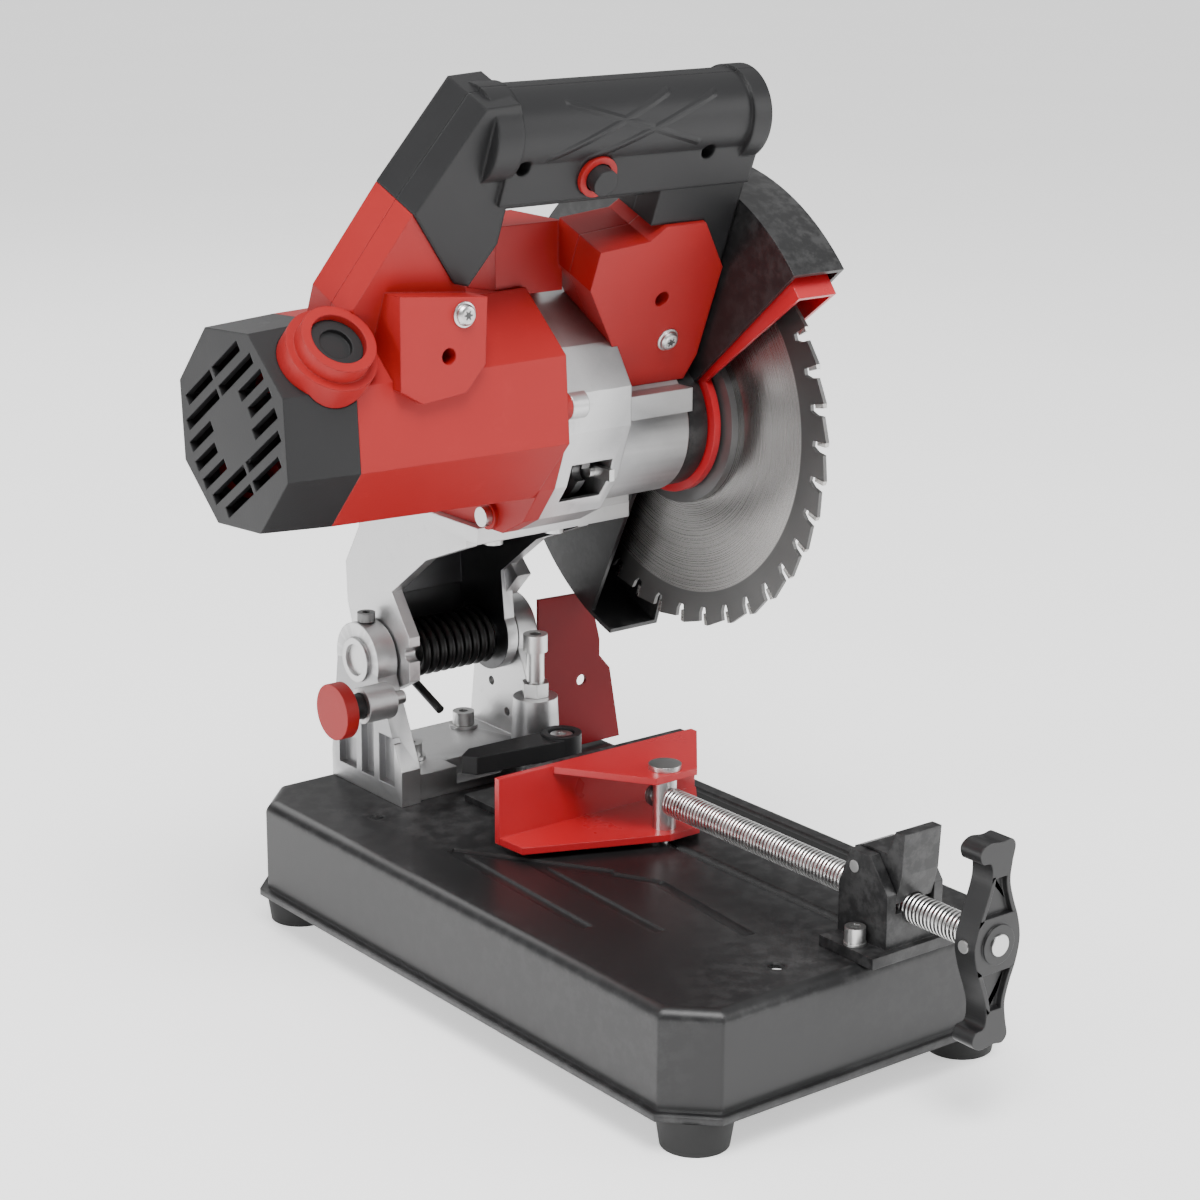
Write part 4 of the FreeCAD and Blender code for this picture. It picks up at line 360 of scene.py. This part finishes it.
paint_black = black_paint()
pan_paint = black_paint("pan_paint", round_edge=2.2 * MM)
paint_red = red_paint()
# A darker copy of the red enamel for the spark plate: painted shade, because the plate sits in shade.
shaded_red_enamel = red_paint("red_enamel_painted_shade", (0.15, 0.001, 0.004), (0.19, 0.002, 0.006), specular=0.15, coat=0.0)
plastic_black = moulded("black_plastic", (0.009, 0.009, 0.0095), (0.017, 0.017, 0.018))
grip_plastic = grip_moulding()
plastic_red = moulded("red_plastic", (0.29, 0.007, 0.007), (0.35, 0.011, 0.011), 1300, (0.42, 0.52), 0.18)
alu = cast_aluminium()
alu_arm = cast_aluminium("cast_arm", painted_shade_core=True)
plated = zinc()
oxide = dark_steel()
spring_steel = dark_steel("spring_steel", 0.035)
black_rubber = rubber()
blade_steel = ground_blade(BLADE)
thread = threaded(SCREW)
core = laminated()
tip = carbide()

LOOKS = {
    pan_paint: ["base_pan"],
    shaded_red_enamel: ["spark_plate"],
    paint_black: ["corner_gussets", "fence", "screw_bracket", "half_nut", "upper_guard", "vise_handle"],
    paint_red: ["moving_jaw", "lower_guard"],
    plastic_red: ["motor_housing", "handle_frame_front", "handle_frame_back", "button_bezel", "lock_knob"],
    grip_plastic: ["grip_front", "grip_back"],
    plastic_black: ["end_cap", "trigger", "switch", "lock_off_button", "brush_caps", "fan",
                    "clamp_lever", "lock_sleeve"],
    alu: ["hinge_bracket", "gear_case"],
    alu_arm: ["swing_arm"],
    plated: ["foot_bolts", "pivot_shaft", "stop_screw", "stop_nut", "spark_plate_screws", "lock_pin", "clamp_bolt",
             "jaw_pin", "handle_pin", "half_nut_pin", "base_bolts", "arm_bolts", "flange_screws", "bearings",
             "spindle", "spindle_lock", "outer_flange", "blade_bolt", "guard_screws"],
    oxide: ["pin_clip", "screw_clip", "handle_screws", "drive_wheel", "lock_disc", "inner_flange", "pivot_set_screw"],
    spring_steel: ["return_spring"],
    black_rubber: ["rubber_feet"],
    blade_steel: ["saw_blade"],
    thread: ["vise_screw"],
    core: ["stator", "armature"],
}
for material, names in LOOKS.items():
    for name in names:
        mesh = nodes[name].data
        mesh.materials.clear()
        mesh.materials.append(material)


# ---------------------------------------------------------------- made pieces
def piece(name, mesh, material, body):
    item = bpy.data.objects.new(name, mesh)
    bpy.context.scene.collection.objects.link(item)
    mesh.materials.append(material)
    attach(item, body)
    return item


def close_mesh(work, name):
    """Turns a finished bmesh into a mesh with its faces outward, and frees it."""
    bmesh.ops.recalc_face_normals(work, faces=work.faces)
    mesh = bpy.data.meshes.new(name)
    work.to_mesh(mesh)
    work.free()
    return mesh


def wall(work, first, second):
    """Quads between two closed rings of points."""
    count = len(first)
    for k in range(count):
        m = (k + 1) % count
        work.faces.new((first[k], first[m], second[m], second[k]))


TEETH = 36
FIRST_TOOTH = 2.5                # degrees
TIP_HALF_WIDTH = 1.15 * MM
TIP_HEIGHT = 5.2 * MM


def carbide_tips():
    """A brazed tip on the cutting face of every tooth."""
    work = bmesh.new()
    half = TIP_HALF_WIDTH
    outer = RADIUS - 0.05 * MM
    inner = outer - TIP_HEIGHT
    for index in range(TEETH):
        turn = math.radians(FIRST_TOOTH - index * 360 / TEETH)
        across = Vector((0, math.sin(turn), math.cos(turn)))
        out = Vector((0, -math.cos(turn), math.sin(turn)))
        corners = []
        for side in (-1, 1):
            x = Vector((side * half, 0, 0))
            narrow = Vector((side * half * 0.8, 0, 0))
            corners += [
                BLADE + out * outer + x,
                BLADE + out * (outer - 0.35 * MM) - across * 1.9 * MM + narrow,
                BLADE + out * inner - across * 1.6 * MM + narrow,
                BLADE + out * inner + narrow,
            ]
        verts = [work.verts.new(c) for c in corners]
        a, b = verts[:4], verts[4:]
        work.faces.new(a)
        work.faces.new(list(reversed(b)))
        for k in range(4):
            work.faces.new((a[k], b[k], b[(k + 1) % 4], a[(k + 1) % 4]))
    return piece("carbide_tips", close_mesh(work, "carbide_tips"), tip, "blade_set")


carbide_tips()


def smooth_loop(points, steps=6):
    """A closed Catmull-Rom curve through the points."""
    count = len(points)
    loop = []
    for index in range(count):
        p0, p1, p2, p3 = (Vector(points[(index + k - 1) % count]) for k in range(4))
        for step in range(steps):
            t = step / steps
            loop.append(0.5 * (2 * p1 + (p2 - p0) * t + (2 * p0 - 5 * p1 + 4 * p2 - p3) * t ** 2
                               + (3 * p1 - p0 - 3 * p2 + p3) * t ** 3))
    return loop


def add_ring(work, centre, radius, low, high, segments=56):
    """A closed drum along Y."""
    rims = []
    for y in (low, high):
        rims.append([
            work.verts.new((centre.x + radius * math.cos(math.tau * k / segments), y,
                            centre.z + radius * math.sin(math.tau * k / segments)))
            for k in range(segments)
        ])
    wall(work, rims[0], rims[1])
    work.faces.new(rims[0])
    work.faces.new(list(reversed(rims[1])))


# The upper wing's outline from left to right, as shares of the handle's half width and half height.
UPPER_WING = ((-0.98, 0.0), (-0.82, 0.22), (-0.52, 0.45), (-0.36, 0.62), (-0.42, 0.77), (-0.80, 0.80), (-0.90, 0.91),
              (-0.55, 0.975), (0.0, 0.96), (0.40, 0.97), (0.60, 0.90), (0.50, 0.75), (0.44, 0.58), (0.60, 0.40),
              (0.86, 0.20), (0.98, 0.0))
POCKET = (0.24, 0.66)    # where each pocket starts and ends, as shares of the half height
HUB_SHARE = 0.66         # hub and screw end radii, as shares of the half width
SCREW_END_SHARE = 0.36


def soften(item, width):
    bevel = item.modifiers.new("soft_edges", "BEVEL")
    bevel.width = width
    bevel.segments = 3
    bevel.limit_method = "ANGLE"
    bevel.angle_limit = math.radians(40)


def winged_handle():
    """Cast handle: one plate with two hooked wings, sunk pockets beside the hub and a raised hub."""
    low, high = (Vector(c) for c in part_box("vise_handle"))
    centre = (low + high) / 2
    reach = (high.z - low.z) / 2
    waist = (high.x - low.x) / 2
    front, rear = low.y + 2.2 * MM, high.y - 3.2 * MM
    lower_wing = tuple((a, -b) for a, b in reversed(UPPER_WING[1:-1]))
    outline = smooth_loop([(a * waist, b * reach) for a, b in UPPER_WING + lower_wing])
    work = bmesh.new()
    rows = [[work.verts.new((centre.x + p.x, y, centre.z + p.y)) for p in outline] for y in (front, rear)]
    wall(work, rows[0], rows[1])
    work.faces.new(rows[0])
    work.faces.new(list(reversed(rows[1])))
    bmesh.ops.recalc_face_normals(work, faces=work.faces)
    for share in (-POCKET[1], -POCKET[0], POCKET[0], POCKET[1]):
        bmesh.ops.bisect_plane(work, geom=work.verts[:] + work.edges[:] + work.faces[:],
                               plane_co=(0, 0, centre.z + share * reach), plane_no=(0, 0, 1))
    pockets = [f for f in work.faces if f.normal.y < -0.9
               and POCKET[0] < abs(f.calc_center_median().z - centre.z) / reach < POCKET[1]]
    for pocket in pockets:
        bmesh.ops.inset_region(work, faces=[pocket], thickness=1.9 * MM, depth=0.0)
        bmesh.ops.inset_region(work, faces=[pocket], thickness=0.5 * MM, depth=-2.2 * MM)
    add_ring(work, centre, waist * HUB_SHARE, low.y + 1.3 * MM, high.y - 0.05 * MM)
    item = piece("winged_handle", close_mesh(work, "winged_handle"), paint_black, "screw")
    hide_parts("vise_handle")
    soften(item, 0.9 * MM)
    work = bmesh.new()
    add_ring(work, centre, waist * SCREW_END_SHARE, low.y + 0.5 * MM, low.y + 4.0 * MM)
    soften(piece("screw_end", close_mesh(work, "screw_end"), plated, "screw"), 0.3 * MM)


winged_handle()


WEB_HALF_WIDTH = 26.4 * MM
WEB_SECTION = ((151.6, 137.6), (145.2, 117.6), (143.9, 113.4), (143.5, 113.4), (144.2, 117.6), (148.6, 137.6))  # y, z


def arm_web():
    """The thin wall that closes the arm behind the spring, between the two cheeks; its dark colour is the arm's
    painted shade.
    """
    work = bmesh.new()
    rows = [[work.verts.new((x, y * MM, z * MM)) for y, z in WEB_SECTION] for x in (-WEB_HALF_WIDTH, WEB_HALF_WIDTH)]
    wall(work, rows[0], rows[1])
    work.faces.new(rows[0])
    work.faces.new(list(reversed(rows[1])))
    piece("arm_web", close_mesh(work, "arm_web"), alu_arm, "head")


arm_web()


LUG_SCREWS = ((-78.9, 294.3), (38.0, 268.3))    # x, z of each screw in mm
HEAD_PROFILE = ((5.0, -0.3), (5.0, 0.6), (4.2, 0.8), (4.1, 1.9), (3.4, 2.7), (2.5, 3.0))    # radius, height in mm
STAR_RADII = (2.0, 1.9, 1.2, 1.1, 1.2, 1.9)
STAR_HEIGHTS = (2.8, 3.04)
AROUND = 36


def frame_hit(x, z):
    """Where a line along +Y first meets the front handle frame, and the face's direction."""
    start = Vector((x * MM, -0.4, z * MM))
    found, place, normal, _ = nodes["handle_frame_front"].ray_cast(start, Vector((0, 1, 0)))
    if not found:
        raise RuntimeError("no handle frame in front of the lug screw")
    return place, normal


def ring_on(work, place, normal, height, radii):
    """A closed ring of points round a face's normal, with its radii repeated in turn."""
    side = Vector((1, 0, 0))
    side = (side - normal * side.dot(normal)).normalized()
    over = normal.cross(side)
    ring = []
    for k in range(AROUND):
        turn = math.tau * k / AROUND
        outward = side * math.cos(turn) + over * math.sin(turn)
        ring.append(work.verts.new(place + normal * height * MM + outward * radii[k % len(radii)] * MM))
    return ring


def lug_screws():
    """Pan-head screws with washers on the two lugs of the front handle frame, each with a thin dark star painted on
    as the shade of its star recess.
    """
    heads, stars = bmesh.new(), bmesh.new()
    for x, z in LUG_SCREWS:
        place, normal = frame_hit(x, z)
        for work, rings in (
            (heads, [ring_on(heads, place, normal, height, (radius,)) for radius, height in HEAD_PROFILE]),
            (stars, [ring_on(stars, place, normal, height, STAR_RADII) for height in STAR_HEIGHTS]),
        ):
            for first, second in zip(rings, rings[1:]):
                wall(work, first, second)
            work.faces.new(rings[0])
            work.faces.new(rings[-1])
    piece("lug_screws", close_mesh(heads, "lug_screws"), plated, "head")
    # Painted shade: a thin dark star laid on each head stands for the shade inside its recess.
    piece("lug_recess_shade", close_mesh(stars, "lug_recess_shade"), oxide, "head")


lug_screws()


# ---------------------------------------------------------------- stage
floor_mesh = bpy.data.meshes.new("floor")
work = bmesh.new()
bmesh.ops.create_grid(work, x_segments=2, y_segments=2, size=12.0)
work.to_mesh(floor_mesh)
work.free()
floor = bpy.data.objects.new("floor", floor_mesh)
bpy.context.scene.collection.objects.link(floor)
floor_mesh.materials.append(floor_paint())

world = bpy.data.worlds.new("studio")
bpy.context.scene.world = world
world.use_nodes = True
sky = world.node_tree
direction = sky.nodes.new("ShaderNodeTexCoord").outputs["Generated"]
split = sky.nodes.new("ShaderNodeSeparateXYZ")
sky.links.new(direction, split.inputs[0])
ramp = sky.nodes.new("ShaderNodeValToRGB")
STOPS = ((0.0, 0.30), (0.16, 0.10), (0.40, 0.35), (0.62, 1.0))
while len(ramp.color_ramp.elements) < len(STOPS):
    ramp.color_ramp.elements.new(0.5)
for element, (place, grey) in zip(ramp.color_ramp.elements, STOPS):
    element.position = place
    element.color = (grey, grey, grey, 1.0)
sky.links.new(split.outputs[2], ramp.inputs[0])
sky.links.new(ramp.outputs[0], sky.nodes["Background"].inputs["Color"])
sky.nodes["Background"].inputs["Strength"].default_value = 0.75
LIGHTS = (
    ("key", (-0.5, -0.9, 1.9), 1.0, 52.0),
    ("fill", (1.4, -1.1, 0.7), 0.8, 12.0),
    ("rim", (0.1, 1.5, 1.3), 1.2, 12.0),
    ("side", (-1.5, 0.3, 0.6), 0.5, 10.0),
)
for name, place, size, power in LIGHTS:
    lamp = bpy.data.lights.new(name, "AREA")
    lamp.size = size
    lamp.energy = power
    item = bpy.data.objects.new(name, lamp)
    item.location = place
    aim = Vector((0.0, 0.0, 0.18)) - Vector(place)
    item.rotation_euler = aim.to_track_quat("-Z", "Y").to_euler()
    bpy.context.scene.collection.objects.link(item)

# ---------------------------------------------------------------- camera
azimuth = math.radians(-37.981)
elevation = math.radians(16.156)
roll = math.radians(0.342)
back = Vector((
    math.sin(azimuth) * math.cos(elevation),
    -math.cos(azimuth) * math.cos(elevation),
    math.sin(elevation),
))
right = Vector((0, 0, 1)).cross(back).normalized()
up = back.cross(right)
right, up = right * math.cos(roll) + up * math.sin(roll), up * math.cos(roll) - right * math.sin(roll)
lens = bpy.data.cameras.new("camera")
lens.sensor_width = 36.0
lens.lens = 84.605
camera = bpy.data.objects.new("camera", lens)
camera.matrix_world = Matrix((
    (right.x, up.x, back.x, -0.68625),
    (right.y, up.y, back.y, -0.86867),
    (right.z, up.z, back.z, 0.48752),
    (0, 0, 0, 1),
))
bpy.context.scene.collection.objects.link(camera)
bpy.context.scene.camera = camera
bpy.context.view_layer.update()
